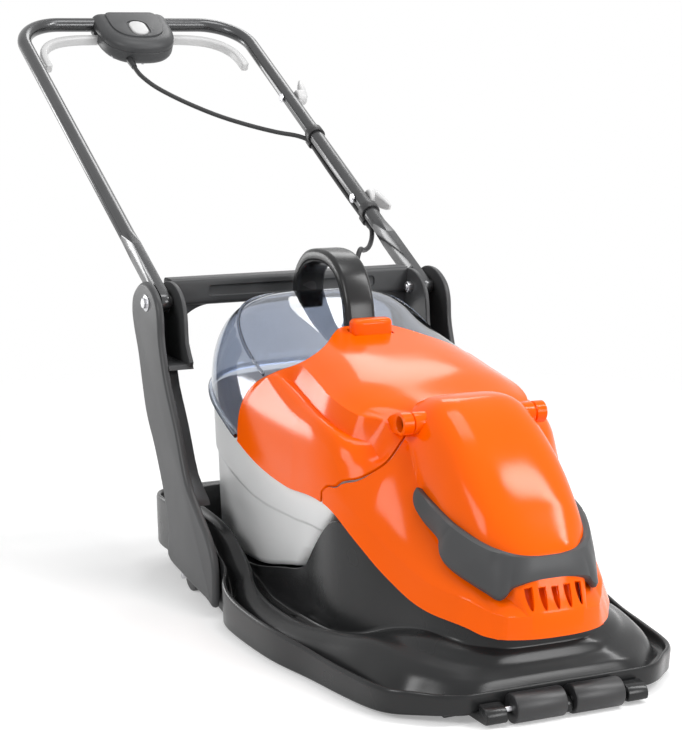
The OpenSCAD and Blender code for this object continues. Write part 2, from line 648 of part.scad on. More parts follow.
bolt_head_r = 7;
bolt_head_h = 5;
module pivot_bolts() {
    color(steel) both_sides() translate([0, pivot_y, pivot_z]) {
        rod(bolt_r, wall_inner - 9, yoke_half_w - bolt_head_h + 0.5);
        translate([yoke_half_w - bolt_head_h, 0, 0]) rotate([0, 90, 0])
            cylinder(r = bolt_head_r, h = bolt_head_h - 0.5, $fn = 6);
    }
}
module pivot_nuts() {
    color(steel) both_sides() translate([0, pivot_y, pivot_z]) difference() {
        translate([wall_inner - 7, 0, 0]) rotate([0, 90, 0])
            cylinder(r = bolt_head_r + 0.5, h = 7 - seat_gap, $fn = 6);
        rod(bolt_r + run_gap, 150, 200);
    }
}

// Handle, drawn flat: Y runs from the pivot to the top bar, Z stands out of its plane
module at_handle() { translate([0, pivot_y, pivot_z]) rotate([handle_angle, 0, 0]) children(); }
tube_r = tube_d / 2;

tube_flat_t = 12;
tube_flat_len = 120;
taper_len = 34;
hook_places = [523, 228];
hook_bolt_r = 2.5;
module tube_run(r, start) {
    corner = handle_half_w - bend_r;
    both_sides() {
        translate([handle_half_w, start, 0]) rotate([-90, 0, 0])
            cylinder(r = r, h = handle_len - bend_r - start);
        translate([corner, handle_len - bend_r, 0]) rotate_extrude(angle = 90)
            translate([bend_r, 0]) circle(r = r);
    }
    translate([0, handle_len, 0]) rod(r, -corner, corner);
}
module handle_tube() {
    color(charcoal) at_handle() difference() {
        union() {
            difference() {
                tube_run(tube_r, tube_flat_len + taper_len);
                tube_run(tube_r - tube_wall, tube_flat_len + taper_len + 1);
            }
            both_sides() {
                translate([handle_half_w - tube_flat_t / 2, 0, -tube_flat_h / 2])
                    cube([tube_flat_t, tube_flat_len, tube_flat_h]);
                rod(tube_flat_h / 2, handle_half_w - tube_flat_t / 2, handle_half_w + tube_flat_t / 2);
                hull() {
                    translate([handle_half_w - tube_flat_t / 2, tube_flat_len - 1, -tube_flat_h / 2])
                        cube([tube_flat_t, 1, tube_flat_h]);
                    translate([handle_half_w, tube_flat_len + taper_len, 0]) rotate([-90, 0, 0])
                        cylinder(r = tube_r, h = 1, $fn = 32);
                }
            }
        }
        rod(bolt_r + run_gap, -250, 250);
        for (p = hook_places) translate([0, p, 0]) rod(hook_bolt_r + run_gap, 100, 250);
    }
}
module pivot_spacers() {
    gap = handle_half_w - tube_flat_t / 2 - pocket_inner;
    outer = yoke_face - handle_half_w - tube_flat_t / 2;
    color(steel) translate([0, pivot_y, pivot_z]) both_sides() difference() {
        union() {
            rod(bolt_r + 4, pocket_inner + seat_gap, pocket_inner + gap - seat_gap);
            rod(bolt_r + 4, yoke_face - outer + seat_gap, yoke_face - seat_gap);
        }
        rod(bolt_r + run_gap, 150, 230);
    }
}

// Switch box, in the handle's flat frame, with its round end towards the mower
box_turn = 20;
function box_line(half_w, back, turn, nose) = concat(
    [[half_w - 10, handle_len + back], [half_w, handle_len + back - 10]],
    [for (a = [0:9:180])
        [half_w * sign(cos(a)) * pow(abs(cos(a)), 0.77),
         handle_len - turn - (nose - turn) * pow(sin(a), 0.77)]],
    [[-half_w, handle_len + back - 10], [-half_w + 10, handle_len + back]]);
boss_places = [[42, 66], [-42, 66], [0, 85]];
module box_solid(z0, z1) {
    translate([0, 0, z0]) linear_extrude(z1 - z0) polygon(box_line(box_w / 2, box_back, box_turn, box_len));
}
module box_space(z0, z1) {
    difference() {
        translate([0, 0, z0]) linear_extrude(z1 - z0)
            polygon(box_line(box_w / 2 - box_wall, -tube_r - box_wall, box_turn + 6, box_len - box_wall));
        for (p = boss_places) translate([p[0], handle_len - p[1], z0 - 1]) cylinder(r = 5, h = z1 - z0 + 2);
    }
}
module bar_groove() { translate([0, handle_len, 0]) rod(tube_r + 0.1, -100, 100); }
module screw_holes() {
    for (p = boss_places) translate([p[0], handle_len - p[1], -40]) cylinder(r = 1.6 + run_gap, h = 46);
}
button_at = 46;
button_r = 14;
button_half = 7;
module button_shape(r, z0, z1) {
    translate([0, handle_len - button_at, z0]) {
        for (e = [-1, 1]) translate([0, e * button_half, 0]) cylinder(r = r, h = z1 - z0);
        translate([-r, -button_half, 0]) cube([2 * r, 2 * button_half, z1 - z0]);
    }
}
button_low = 8;
// Ribs of the upper half that hold the switch under the button
rib_x = button_r + 4;
switch_low = -5;
module switch_box_top() {
    color(mid_grey) at_handle() {
        difference() {
            box_solid(0, box_top_h);
            box_space(-1, box_top_h - box_wall);
            bar_groove();
            screw_holes();
            button_shape(button_r + seat_gap, 0, 40);
        }
        both_sides() translate([rib_x, handle_len - button_at - 6, switch_low])
            cube([3, 12, box_top_h - box_wall - switch_low + 1]);
    }
}
bail_low = -20;
bail_t = 8;
bail_w = 22;
bail_off = 29;
bail_pivot = 72;
bail_turn = 8;
bail_pin_r = 2.5;
slot_top = bail_low + bail_t + (bail_pivot - bail_off + bail_w / 2) * sin(bail_turn) + 1;
gland_x = -25;
inlet_x = 45;
inlet_z = -18;
inlet_wall = 10;
gland_r = 6;
module switch_box_base() {
    color(mid_grey) at_handle() difference() {
        box_solid(-box_base_h, -seat_gap / 2);
        box_space(-box_base_h + box_wall, 1);
        bar_groove();
        screw_holes();
        both_sides() translate([30, handle_len - bail_off - bail_w / 2 - 2, bail_low - 1])
            cube([80, bail_w + 4, slot_top - bail_low + 1]);
        translate([0, handle_len - bail_pivot, bail_low + bail_t / 2]) rod(bail_pin_r + run_gap, -80, 80);
        translate([gland_x, handle_len - box_len + 20, -box_base_h / 2]) rotate([90, 0, 0])
            cylinder(r = gland_r + run_gap, h = 60);
        translate([inlet_x, handle_len + box_back - inlet_wall - 1, inlet_z]) rotate([-90, 0, 0])
            cylinder(r = inlet_r, h = 60);
        translate([inlet_x - inlet_r - 2, handle_len - bail_off + bail_w / 2, inlet_z - inlet_r - 0.5])
            cube([2 * inlet_r + 4, box_back + bail_off - bail_w / 2 - inlet_wall, 2 * inlet_r + 1]);
        for (p = boss_places) translate([p[0], handle_len - p[1], -box_base_h - 1]) cylinder(r = 3.2, h = 4);
    }
}
module box_screws() {
    color(steel) at_handle() for (p = boss_places) translate([p[0], handle_len - p[1], -box_base_h]) {
        cylinder(r = 1.6, h = box_base_h + 4);
        translate([0, 0, 0.5]) cylinder(r = 2.9, h = 2.2);
    }
}
module lock_button() {
    color(pale_grey) at_handle() {
        button_shape(button_r, button_low, box_top_h + 3);
        button_shape(button_r + 3, box_top_h - box_wall - 2.5, box_top_h - box_wall - seat_gap);
    }
}
module micro_switch() {
    color([0.1, 0.1, 0.1]) at_handle() translate([0, handle_len - button_at, switch_low]) {
        translate([-rib_x + seat_gap / 2, -6, 0]) cube([2 * rib_x - seat_gap, 12, 6]);
        translate([-2, -2, 6]) cube([4, 4, button_low - 4.3 - switch_low - 6]);
    }
}
// Bail: a flat strap below the bar that turns down beside both legs
module bail_strap() {
    side = handle_half_w - bail_off;
    r = bend_r - bail_off;
    across = handle_half_w - bend_r;
    translate([-across, handle_len - bail_off - bail_w / 2]) square([2 * across, bail_w]);
    for (m = [0, 1]) mirror([m, 0]) {
        translate([across, handle_len - bend_r]) intersection() {
            difference() {
                circle(r = r + bail_w / 2);
                circle(r = r - bail_w / 2);
            }
            square(200);
        }
        translate([side - bail_w / 2, handle_len - 118]) square([bail_w, 118 - bend_r]);
    }
}
module bail_lever() {
    color(pale_grey) at_handle() difference() {
        union() {
            translate([0, 0, bail_low]) linear_extrude(bail_t) bail_strap();
            translate([-34, handle_len - bail_pivot - 6, bail_low])
                cube([68, bail_pivot - bail_off + 6, bail_t]);
        }
        translate([0, handle_len - bail_pivot, bail_low + bail_t / 2]) rod(bail_pin_r + run_gap, -100, 100);
        translate([-9, handle_len - bail_pivot - 8, bail_low - 1]) cube([18, 18, bail_t + 2]);
    }
}
module bail_pin() {
    color(steel) at_handle() translate([0, handle_len - bail_pivot, bail_low + bail_t / 2])
        rod(bail_pin_r, -box_w / 2 + 13.5, box_w / 2 - 13.5);
}
module bail_spring() {
    color(steel) at_handle() translate([0, handle_len - bail_pivot, bail_low + bail_t / 2]) difference() {
        rod(bail_pin_r + 1.2, -8.7, 8.7);
        rod(bail_pin_r + seat_gap / 2, -20, 20);
    }
}
module cable_gland() {
    color([0.08, 0.08, 0.08]) at_handle() translate([gland_x, handle_len - box_len, -box_base_h / 2])
        rotate([90, 0, 0]) difference() {
            union() {
                translate([0, 0, -8]) cylinder(r = gland_r, h = 10);
                translate([0, 0, 2]) cylinder(r1 = gland_r, r2 = 4.4, h = 20);
            }
            translate([0, 0, -20]) cylinder(r = cable_r + 0.2, h = 60);
        }
}

// Cable: out of the gland, across to the right leg, down it to the lower clip, then to the crossbar
cable_r = 3.5;
clip_places = [410, 193];
clip_x = handle_half_w - 4;
cable_z = -tube_r - cable_r - 0.9;
gland_z = -12.5;
// Place along the handle in the loose loop, from the upper clip at 0 to the gland at 1
function loop_at(f) = mix(clip_places[0] + 14, handle_len - 122, f);
upper_route = [
    [gland_x, handle_len - 92, gland_z], [gland_x, loop_at(1), gland_z], [-20, loop_at(0.9), -15],
    [-2, loop_at(0.77), -20], [34, loop_at(0.61), -26], [76, loop_at(0.45), -30], [116, loop_at(0.3), -29],
    [150, loop_at(0.16), -24], [174, loop_at(0.06), -18], [clip_x, loop_at(0) - 6, cable_z],
    [clip_x, 396, cable_z], [clip_x, 340, cable_z - 1], [clip_x, 280, cable_z - 1], [clip_x, 210, cable_z],
    [clip_x, 176, cable_z]];
lower_route = [[clip_x, 176, cable_z], [clip_x, 166, cable_z], [180, 150, -18], [167, 128, -15], [150, 104, -5],
               [132, 82, 8]];
module cable_upper() { color([0.06, 0.06, 0.06]) at_handle() swept_tube(upper_route, cable_r); }
function handle_point(p) = [
    p[0], pivot_y + p[1] * handle_dir[0] - p[2] * handle_dir[1],
    pivot_z + p[1] * handle_dir[1] + p[2] * handle_dir[0]];
grommet_y = crossbar_y + crossbar_d / 2;
grommet_top = crossbar_z + crossbar_h + 8;
module cable_lower() {
    route = concat([for (p = lower_route) handle_point(p)], [
        [112, grommet_y + 8, grommet_top + 16], [grommet_x + 2, grommet_y + 1, grommet_top + 9],
        [grommet_x, grommet_y, grommet_top + 1], [grommet_x, grommet_y, grommet_top - 6]]);
    color([0.06, 0.06, 0.06]) swept_tube(route, cable_r);
}
module cable_grommet() {
    color([0.08, 0.08, 0.08]) translate([grommet_x, grommet_y, 0]) difference() {
        union() {
            translate([0, 0, crossbar_z + 8]) cylinder(r = grommet_r, h = crossbar_h - 8 + 1);
            translate([0, 0, crossbar_z + crossbar_h + seat_gap]) cylinder(r = grommet_r + 3, h = 3);
            translate([0, 0, crossbar_z + crossbar_h + 3]) cylinder(r1 = grommet_r, r2 = 4.6, h = 5);
        }
        translate([0, 0, crossbar_z]) cylinder(r = cable_r + 0.2, h = 80);
    }
}
module cable_clips() {
    color([0.1, 0.1, 0.1]) at_handle() for (p = clip_places) translate([0, p - 7, 0]) difference() {
        union() {
            translate([handle_half_w, 0, 0]) rotate([-90, 0, 0]) cylinder(r = tube_r + 3, h = 14);
            translate([clip_x, 0, cable_z]) rotate([-90, 0, 0]) cylinder(r = cable_r + 2.4, h = 14);
        }
        translate([handle_half_w, -1, 0]) rotate([-90, 0, 0]) cylinder(r = tube_r + 0.1, h = 16);
        translate([clip_x, -1, cable_z]) rotate([-90, 0, 0]) cylinder(r = cable_r + 0.3, h = 16);
    }
}

// Cable hooks on the outside of the right leg
hook_reach = 34;
hook_boss_r = 8;
module hook(way) {
    base = handle_half_w + tube_r + seat_gap;
    difference() {
        union() {
            rod(hook_boss_r, base, base + 14);
            hull() {
                rod(hook_boss_r + 2, base + 8, base + 14);
                translate([0, way * 20, 4]) rod(hook_boss_r, base + 8, base + 14);
            }
            hull() {
                translate([0, way * 20, 4]) rod(hook_boss_r, base + 8, base + 14);
                translate([0, way * 30, 6]) rod(hook_boss_r - 1, base + 14, base + 22);
            }
        }
        rod(hook_bolt_r + run_gap, 150, base + 10);
    }
}
module hook_upper() { color(pale_grey) at_handle() translate([0, hook_places[0], 0]) hook(1); }
module hook_lower() { color(pale_grey) at_handle() translate([0, hook_places[1], 0]) hook(-1); }
module hook_bolts() {
    inner = handle_half_w - tube_r - seat_gap;
    color(steel) at_handle() for (p = hook_places) translate([0, p, 0]) {
        rod(hook_bolt_r, inner - 1, handle_half_w + tube_r + 9);
        rod(4.5, inner - 4, inner);
    }
}

// Drive: motor on the deck's floor, with impeller and blade below it
module at_spindle() { translate([0, -spindle_y, 0]) children(); }
motor_base = motor_floor + seat_gap;
shaft_top = motor_base + motor_h + 10;
shaft_low = blade_z + blade_t;
bearing_r = 13;
bearing_h = 9;
can_wall = 3;
module motor_can() {
    color(mid_grey) at_spindle() difference() {
        union() {
            translate([0, 0, motor_base]) cylinder(r = motor_r, h = motor_h);
            translate([0, 0, motor_base]) cylinder(r = motor_pcd + 8, h = 5);
        }
        translate([0, 0, motor_base + 6 + bearing_h]) cylinder(r = motor_r - can_wall, h = motor_h);
        translate([0, 0, motor_base - 1]) cylinder(r = shaft_r + 2, h = 40);
        translate([0, 0, motor_base + 6]) cylinder(r = bearing_r + run_gap, h = 40);
        for (a = [45:90:315]) rotate([0, 0, a]) translate([motor_pcd, 0, motor_base - 1])
            cylinder(r = screw_r + run_gap, h = 20);
    }
}
cap_z = motor_base + motor_h + seat_gap;
module motor_cap() {
    color(charcoal) at_spindle() difference() {
        translate([0, 0, cap_z]) cylinder(r = motor_r, h = bearing_h + 5);
        translate([0, 0, cap_z - 1]) cylinder(r = bearing_r + run_gap, h = bearing_h + 1);
        translate([0, 0, cap_z - 1]) cylinder(r = shaft_r + 2, h = 40);
    }
}
stator_z = motor_base + 6 + bearing_h + 14;
stator_h = motor_h - 58;
rotor_r = 24;
module stator() {
    color([0.6, 0.36, 0.2]) at_spindle() translate([0, 0, stator_z]) difference() {
        cylinder(r = motor_r - can_wall - seat_gap, h = stator_h);
        translate([0, 0, -1]) cylinder(r = rotor_r + 0.6, h = stator_h + 2);
    }
}
module rotor() {
    color(steel) at_spindle() difference() {
        union() {
            translate([0, 0, shaft_low]) cylinder(r = shaft_r, h = cap_z + bearing_h - shaft_low);
            translate([0, 0, stator_z]) cylinder(r = rotor_r, h = stator_h);
        }
        translate([0, 0, shaft_low - 1]) cylinder(r = blade_bolt_r + run_gap, h = 24);
    }
}
module bearings() {
    places = [motor_base + 6 + seat_gap / 2, cap_z + seat_gap / 2];
    color(steel) at_spindle() for (z = places) translate([0, 0, z]) difference() {
        cylinder(r = bearing_r, h = bearing_h - seat_gap);
        translate([0, 0, -1]) cylinder(r = shaft_r + run_gap, h = bearing_h + 2);
    }
}
module motor_screws() {
    color(steel) at_spindle() for (a = [45:90:315]) rotate([0, 0, a]) translate([motor_pcd, 0, 0]) {
        translate([0, 0, motor_floor - 2 * deck_wall - 1])
            cylinder(r = screw_r, h = 2 * deck_wall + 6 + seat_gap);
        translate([0, 0, motor_base + 5]) cylinder(r = screw_r * 1.9, h = 3);
    }
}
fan_z = blade_z + blade_t + 3;
fan_h = motor_floor - deck_wall - fan_z - 5;
fan_vanes = 8;
module impeller() {
    color(charcoal) at_spindle() difference() {
        union() {
            translate([0, 0, fan_z]) cylinder(r = fan_r, h = 3);
            translate([0, 0, fan_z - 3 + seat_gap]) cylinder(r = 20, h = fan_h);
            for (a = [0:360 / fan_vanes:359]) rotate([0, 0, a]) translate([18, -1.5, fan_z])
                cube([fan_r - 22, 3, fan_h - 4]);
        }
        translate([0, 0, fan_z - 5]) cylinder(r = shaft_r + run_gap, h = 80);
    }
}
blade_bolt_r = 4;
module blade() {
    color([0.3, 0.3, 0.31]) at_spindle() translate([0, 0, blade_z]) difference() {
        intersection() {
            translate([-blade_len / 2, -blade_w / 2, 0]) cube([blade_len, blade_w, blade_t]);
            cylinder(r = blade_len / 2, h = blade_t);
        }
        translate([0, 0, -1]) cylinder(r = blade_bolt_r + run_gap, h = 20);
    }
}
module blade_bolt() {
    color(steel) at_spindle() {
        translate([0, 0, blade_z - seat_gap - 2]) cylinder(r = 14, h = 2);
        translate([0, 0, blade_z - seat_gap - 9]) cylinder(r = 9, h = 7, $fn = 6);
        translate([0, 0, blade_z - 2]) cylinder(r = blade_bolt_r, h = blade_t + 20);
    }
}

// Rollers
front_axle_r = 3;
bracket_in = front_roller_w + 13;
bracket_out = bracket_in + 26;
bracket_d = 44;
module front_brackets() {
    top = roller_cut_top - seat_gap;
    color(charcoal) difference() {
        union() {
            both_sides() translate([bracket_in, axle_y - 8, 3])
                cube([bracket_out - bracket_in, bracket_d, top - 3]);
            translate([-4.5, axle_y - 8, 3]) cube([9, bracket_d, top - 3]);
            translate([-bracket_out, axle_y + bracket_d - 17, 8]) cube([2 * bracket_out, 9, top - 8]);
        }
        translate([0, axle_y, front_roller_r]) rod(front_axle_r + run_gap, -200, 200);
    }
}
module front_axle() {
    color(steel) translate([0, axle_y, front_roller_r]) rod(front_axle_r, -bracket_out + 1, bracket_out - 1);
}
module front_roller() {
    difference() {
        translate([0, axle_y, front_roller_r]) rod(front_roller_r, 5.5, 5.5 + front_roller_w);
        translate([0, axle_y, front_roller_r]) rod(front_axle_r + run_gap, 0, 100);
    }
}
module front_roller_left() { color(charcoal) mirror([1, 0, 0]) front_roller(); }
module front_roller_right() { color(charcoal) front_roller(); }
rear_axle_r = 5;
rear_axle_y = 266;
module rear_roller() {
    color([0.1, 0.1, 0.1]) translate([0, rear_axle_y, rear_roller_r]) difference() {
        rod(rear_roller_r, -rear_roller_half, rear_roller_half);
        rod(rear_axle_r + run_gap, -300, 300);
    }
}
module rear_axle() {
    color(steel) translate([0, rear_axle_y, rear_roller_r])
        rod(rear_axle_r, -yoke_half_w + 3.5, yoke_half_w - 3.5);
}

place() deck();
place() grass_chute();
place() front_hood();
place() nose_bumper();
place() hinge_pins();
place() grass_tub();
place() lid_cover();
place() lid_window();
place() carry_handle();
place() latch_button();
place() yoke();
place() yoke_screws();
place() pivot_bolts();
place() pivot_nuts();
place() handle_tube();
place() pivot_spacers();
place() switch_box_top();
place() switch_box_base();
place() box_screws();
place() lock_button();
place() micro_switch();
place() bail_lever();
place() bail_pin();
place() bail_spring();
place() cable_gland();
place() cable_upper();
place() cable_lower();
place() cable_grommet();
place() cable_clips();
place() hook_upper();
place() hook_lower();
place() hook_bolts();
place() motor_can();
place() motor_cap();
place() stator();
place() rotor();
place() bearings();
place() motor_screws();
place() impeller();
place() blade();
place() blade_bolt();
place() front_brackets();
place() front_axle();
place() front_roller_left();
place() front_roller_right();
place() rear_roller();
place() rear_axle();
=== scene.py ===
import json
import math

import bmesh
import bpy
import numpy as np
from bpy.props import FloatProperty, FloatVectorProperty, IntProperty, PointerProperty
from mathutils import Matrix, Vector


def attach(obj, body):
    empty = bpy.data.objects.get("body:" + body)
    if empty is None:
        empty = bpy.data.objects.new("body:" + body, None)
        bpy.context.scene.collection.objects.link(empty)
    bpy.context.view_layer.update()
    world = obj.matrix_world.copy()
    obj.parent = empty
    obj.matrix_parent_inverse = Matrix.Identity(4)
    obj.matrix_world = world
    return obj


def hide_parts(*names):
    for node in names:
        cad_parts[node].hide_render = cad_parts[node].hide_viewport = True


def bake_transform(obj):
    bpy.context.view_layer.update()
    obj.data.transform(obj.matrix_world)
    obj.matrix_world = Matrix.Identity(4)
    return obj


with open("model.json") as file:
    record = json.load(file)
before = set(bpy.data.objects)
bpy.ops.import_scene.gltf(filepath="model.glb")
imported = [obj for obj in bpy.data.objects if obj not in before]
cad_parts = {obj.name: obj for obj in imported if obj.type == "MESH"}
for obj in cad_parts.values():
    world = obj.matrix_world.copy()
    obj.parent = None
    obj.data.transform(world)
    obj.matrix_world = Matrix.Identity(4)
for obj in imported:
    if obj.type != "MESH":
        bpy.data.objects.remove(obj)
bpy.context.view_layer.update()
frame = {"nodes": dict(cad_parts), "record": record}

bl_info = {
    "name": "Hover mower",
    "version": (1, 0, 0),
    "blender": (4, 5, 0),
    "location": "View3D > Sidebar > Mower",
    "description": "Shapes and finishes of a collecting hover mower, built round its packed frame",
    "category": "Object",
}

NODES = frame["nodes"]
SLOT_OF = {part["node"]: part["material_slot"] for part in frame["record"]["subparts"]}
BODY_OF = {n: body for body, members in frame["record"]["behaviour"]["bodies"].items() for n in members}

# Sizes in millimetres, counted from a datum on the deck, as the solids are
DECK_HALF_W, DECK_FRONT, DECK_REAR, DECK_WALL = 220.0, 305.0, 432.0, 3.0
TAIL_HALF_W, TAIL_H, RIM_H, MOTOR_FLOOR = 203.0, 102.0, 33.0, 62.0
HOOD_FRONT, HOOD_HALF_W, HOOD_WALL = 302.0, 152.0, 2.5
NOSE_HALF_W, NOSE_TOP, NOSE_BULGE_W = 56.0, 305.0, 82.0
TUB_HALF_W, TUB_WALL = 149.0, 2.5
LID_HALF_W, LID_REAR, LID_CREST, LID_WALL, LID_TURN = 155.0, 380.0, 386.0, 2.5, 240.0
LID_FULL, LID_BACK, NOSE_P, NOSE_Q = 3.7, 2.8, 4.4, 2.8
SEAM_GAP, SEAT_GAP, HOOD_SEAT = 1.9, 0.3, 1.0
PIVOT_Y, PIVOT_Z, HANDLE_ANGLE, HANDLE_LEN = 376.0, 359.0, math.radians(27.7), 766.0
HANDLE_HALF_W, TUBE_R = 190.0, 11.0
BOX_W, BOX_LEN, BOX_TOP_H, BOX_BASE_H, BOX_BACK, BOX_TURN = 124.0, 96.0, 18.0, 25.0, 14.0, 20.0
TRUNNION_X, TRUNNION_Y, TRUNNION_Z = 77.0, -115.0, 279.5
FRONT_ROLLER_R, AXLE_Y = 16.0, -(DECK_FRONT + 20.0)
SPINDLE_Y = -100.0
HANDLE_COS, HANDLE_SIN = math.cos(HANDLE_ANGLE), math.sin(HANDLE_ANGLE)
REAR_REACH = PIVOT_Y + (HANDLE_LEN + BOX_BACK) * HANDLE_COS + BOX_BASE_H * HANDLE_SIN
MID_Y = (REAR_REACH + AXLE_Y - FRONT_ROLLER_R) / 2


# Curves and surfaces

def hermite(p, q, m, n, f):
    return (p * (1 + 2 * f) * (1 - f) ** 2 + q * f * f * (3 - 2 * f)
            + m * f * (1 - f) ** 2 - n * f * f * (1 - f))


def curve(table, at):
    """A smooth line through a table of (position, value) pairs."""
    t, at = np.asarray(table, float), np.asarray(at, float)
    k = np.arange(len(t))
    lo, hi = np.maximum(k - 1, 0), np.minimum(k + 1, len(t) - 1)
    slope = (t[hi, 1] - t[lo, 1]) / (t[hi, 0] - t[lo, 0])
    i = np.clip(np.searchsorted(t[:, 0], at, side="right") - 1, 0, len(t) - 2)
    w = t[i + 1, 0] - t[i, 0]
    f = np.clip((at - t[i, 0]) / w, 0, 1)
    return hermite(t[i, 1], t[i + 1, 1], slope[i] * w, slope[i + 1] * w, f)


def smooth(points, steps):
    """A smooth line through a few points, with steps points from each to the next."""
    p = np.asarray(points, float)
    out = []
    for i in range(len(p) - 1):
        a, d = p[max(0, i - 1)], p[min(len(p) - 1, i + 2)]
        for k in range(steps):
            out.append(hermite(p[i], p[i + 1], (p[i + 1] - a) / 2, (d - p[i]) / 2, k / steps))
    return np.array(out)


def mirrored(right, rear):
    """A closed outline from its right half, which runs from the front's middle to the rear's."""
    return np.vstack([right, [rear], right[:0:-1] * [-1, 1]])


def mix(a, b, f):
    return a + (b - a) * f


def ease(t):
    t = np.clip(t, 0, 1)
    return t * t * (3 - 2 * t)


def dome(s, p, q):
    return np.maximum(0, 1 - np.abs(s) ** p) ** (1 / q)


# Lines along the part, as (place, value); SEAM and JOIN run across it, as (share of the half width, place)
EDGE = [(-HOOD_FRONT, 81), (-265, 91), (-226, 97), (-190, 107), (-150, 126), (-97, 160), (-31, 181),
        (55, 179), (140, 187), (212, 205), (272, 227), (338, 251), (LID_REAR, 262)]
APRON = [(-HOOD_FRONT, 24), (-200, 24), (-100, 20), (-31, 12), (60, 7), (140, 4.5), (208, 3.6),
         (LID_REAR, 3.6)]
FLANK = [(-HOOD_FRONT, NOSE_HALF_W), (-292, 68), (-272, 79), (-251, 90), (-216, 105), (-166, 118),
         (-130, 129), (-97, 140), (-31, HOOD_HALF_W), (40, LID_HALF_W)]
CREST = [(-HOOD_FRONT, 106), (-284, 122), (-250, 142), (-210, 170), (-168, 207), (-135, 252), (-112, 280),
         (-58, 292), (0, 310), (60, 324), (135, 338), (200, 352), (260, 368), (310, LID_CREST - 4),
         (LID_REAR, LID_CREST + 4)]
SEAT = [(y, z - HOOD_SEAT) for y, z in EDGE if y < -90] + [
    (-62, 163), (-38, 146), (-9, 116), (13, 92), (86, 72), (182, 53), (LID_REAR, 53)]
FLOOR = [(-HOOD_FRONT, MOTOR_FLOOR), (-20, MOTOR_FLOOR), (60, 56), (182, 50), (LID_REAR, 50)]
SEAM = [(0, -58), (0.28, -72), (0.5, -94), (0.62, -102), (0.74, -104), (0.84, -94), (0.92, -83),
        (0.985, -67), (0.995, -60), (0.999, -48), (0.9998, -43), (1, -38)]
JOIN = [(0, 169), (0.2, 168), (0.32, 150), (0.46, 124), (0.6, 110), (0.73, 114), (0.84, 142), (0.93, 178),
        (1, 208)]
DOME_P = [(-HOOD_FRONT, 2.4), (-168, 2.2), (-112, 2.2), (-85, 2.1), (-40, 3.8), (60, LID_FULL),
          (LID_REAR, LID_FULL)]
DOME_Q = [(-HOOD_FRONT, 1.8), (-168, 1.4), (-112, 1.25), (-85, 1.4), (-40, 2.4), (60, 2.4), (LID_REAR, 2.4)]
NOSE_CREST = [(-HOOD_FRONT, 108), (-292, 128), (-286, 150), (-278, 172), (-245, 215), (-179, 274),
              (-132, NOSE_TOP - 3), (-98, NOSE_TOP), (-75, NOSE_TOP - 6), (-56, NOSE_TOP - 13)]
NOSE_LINE = [(-HOOD_FRONT, 36), (-281, 49), (-268, 60), (-250, 70), (-220, NOSE_BULGE_W - 4),
             (-190, NOSE_BULGE_W), (-55, NOSE_BULGE_W)]
RIM = [(-DECK_FRONT, RIM_H), (-150, RIM_H + 2), (-60, RIM_H + 7), (40, RIM_H + 10), (100, RIM_H + 18),
       (160, 74), (240, TAIL_H - 8), (320, TAIL_H), (DECK_REAR, TAIL_H - 4)]
HEM = [(-DECK_FRONT, 10), (-270, 6), (-200, 2.5), (100, 2.5), (170, 10), (225, 48), (305, 48), (335, 35),
       (DECK_REAR, 34)]
GUTTER = [(-DECK_FRONT, 25), (-240, 22), (-150, 17), (110, 18), (165, 60), (240, TAIL_H - 4),
          (DECK_REAR, TAIL_H)]
SHOULDER = [(-DECK_FRONT, 47), (-236, 58), (-172, 60), (-110, 50), (-40, 42), (60, 41), (112, 52), (180, 92),
            (250, TAIL_H + 2), (DECK_REAR, TAIL_H + 2)]
MOAT = [(-DECK_FRONT, 60), (-230, 74), (-170, 64), (-110, 42), (-50, 33), (90, 31), (150, 42), (220, 50),
        (DECK_REAR, 50)]


def body_z(y, s):
    """Height of the dome that the hood and the lid share."""
    e = curve(EDGE, y) + curve(APRON, y)
    r = np.maximum(0, (y - LID_TURN) / (LID_REAR - LID_TURN))
    g = np.maximum(0, 1 - np.abs(s) ** curve(DOME_P, y) - r ** LID_BACK)
    return e + (curve(CREST, y) - e) * g ** (1 / curve(DOME_Q, y))


def nose_at(y):
    return np.minimum(curve(FLANK, y) - 6, curve(NOSE_LINE, y))


def hood_z(y, x):
    a, c = curve(FLANK, y), np.abs(x) / nose_at(y)
    e = curve(EDGE, y) + curve(APRON, y)
    nose = np.where(c < 1, e + (curve(NOSE_CREST, y) - e) * dome(np.minimum(c, 1), NOSE_P, NOSE_Q), 0)
    return np.maximum(body_z(y, np.minimum(1, np.abs(x) / a)), nose)


# Meshes

MM = 0.001
WELD, TINY = 1e-6, 1e-9
CORNER_SHARE = 0.4
SMOOTH_ANGLE = 38
X_AXIS, Y_AXIS, Z_AXIS = np.eye(3)


def row(points):
    """Points in millimetres from the datum, as metres in the part's frame."""
    return (np.asarray(points, float) - np.array([0, MID_Y, 0])) * MM


def on_handle(points):
    """Points in the handle's flat frame (across, along from the pivot, out of its plane)."""
    x, y, z = np.asarray(points, float).reshape(-1, 3).T
    return np.stack([x, PIVOT_Y + y * HANDLE_COS - z * HANDLE_SIN,
                     PIVOT_Z + y * HANDLE_SIN + z * HANDLE_COS], 1)


def on_handle_shape(shape):
    return on_handle(shape[0]), shape[1]


def sheet(outer, inner):
    """Points and faces of a curved sheet between two grids of equal size."""
    r, c = outer.shape[:2]
    o = r * c
    faces = []
    for i in range(r - 1):
        for j in range(c - 1):
            a = i * c + j
            faces += [(a, a + 1, a + c + 1, a + c), (o + a, o + a + c, o + a + c + 1, o + a + 1)]
    for j in range(c - 1):
        a = (r - 1) * c + j
        faces += [(j, o + j, o + j + 1, j + 1), (a, a + 1, o + a + 1, o + a)]
    for i in range(r - 1):
        a, b = i * c, i * c + c - 1
        faces += [(a, a + c, o + a + c, o + a), (b, o + b, o + b + c, b + c)]
    return np.vstack([outer.reshape(-1, 3), inner.reshape(-1, 3)]), faces


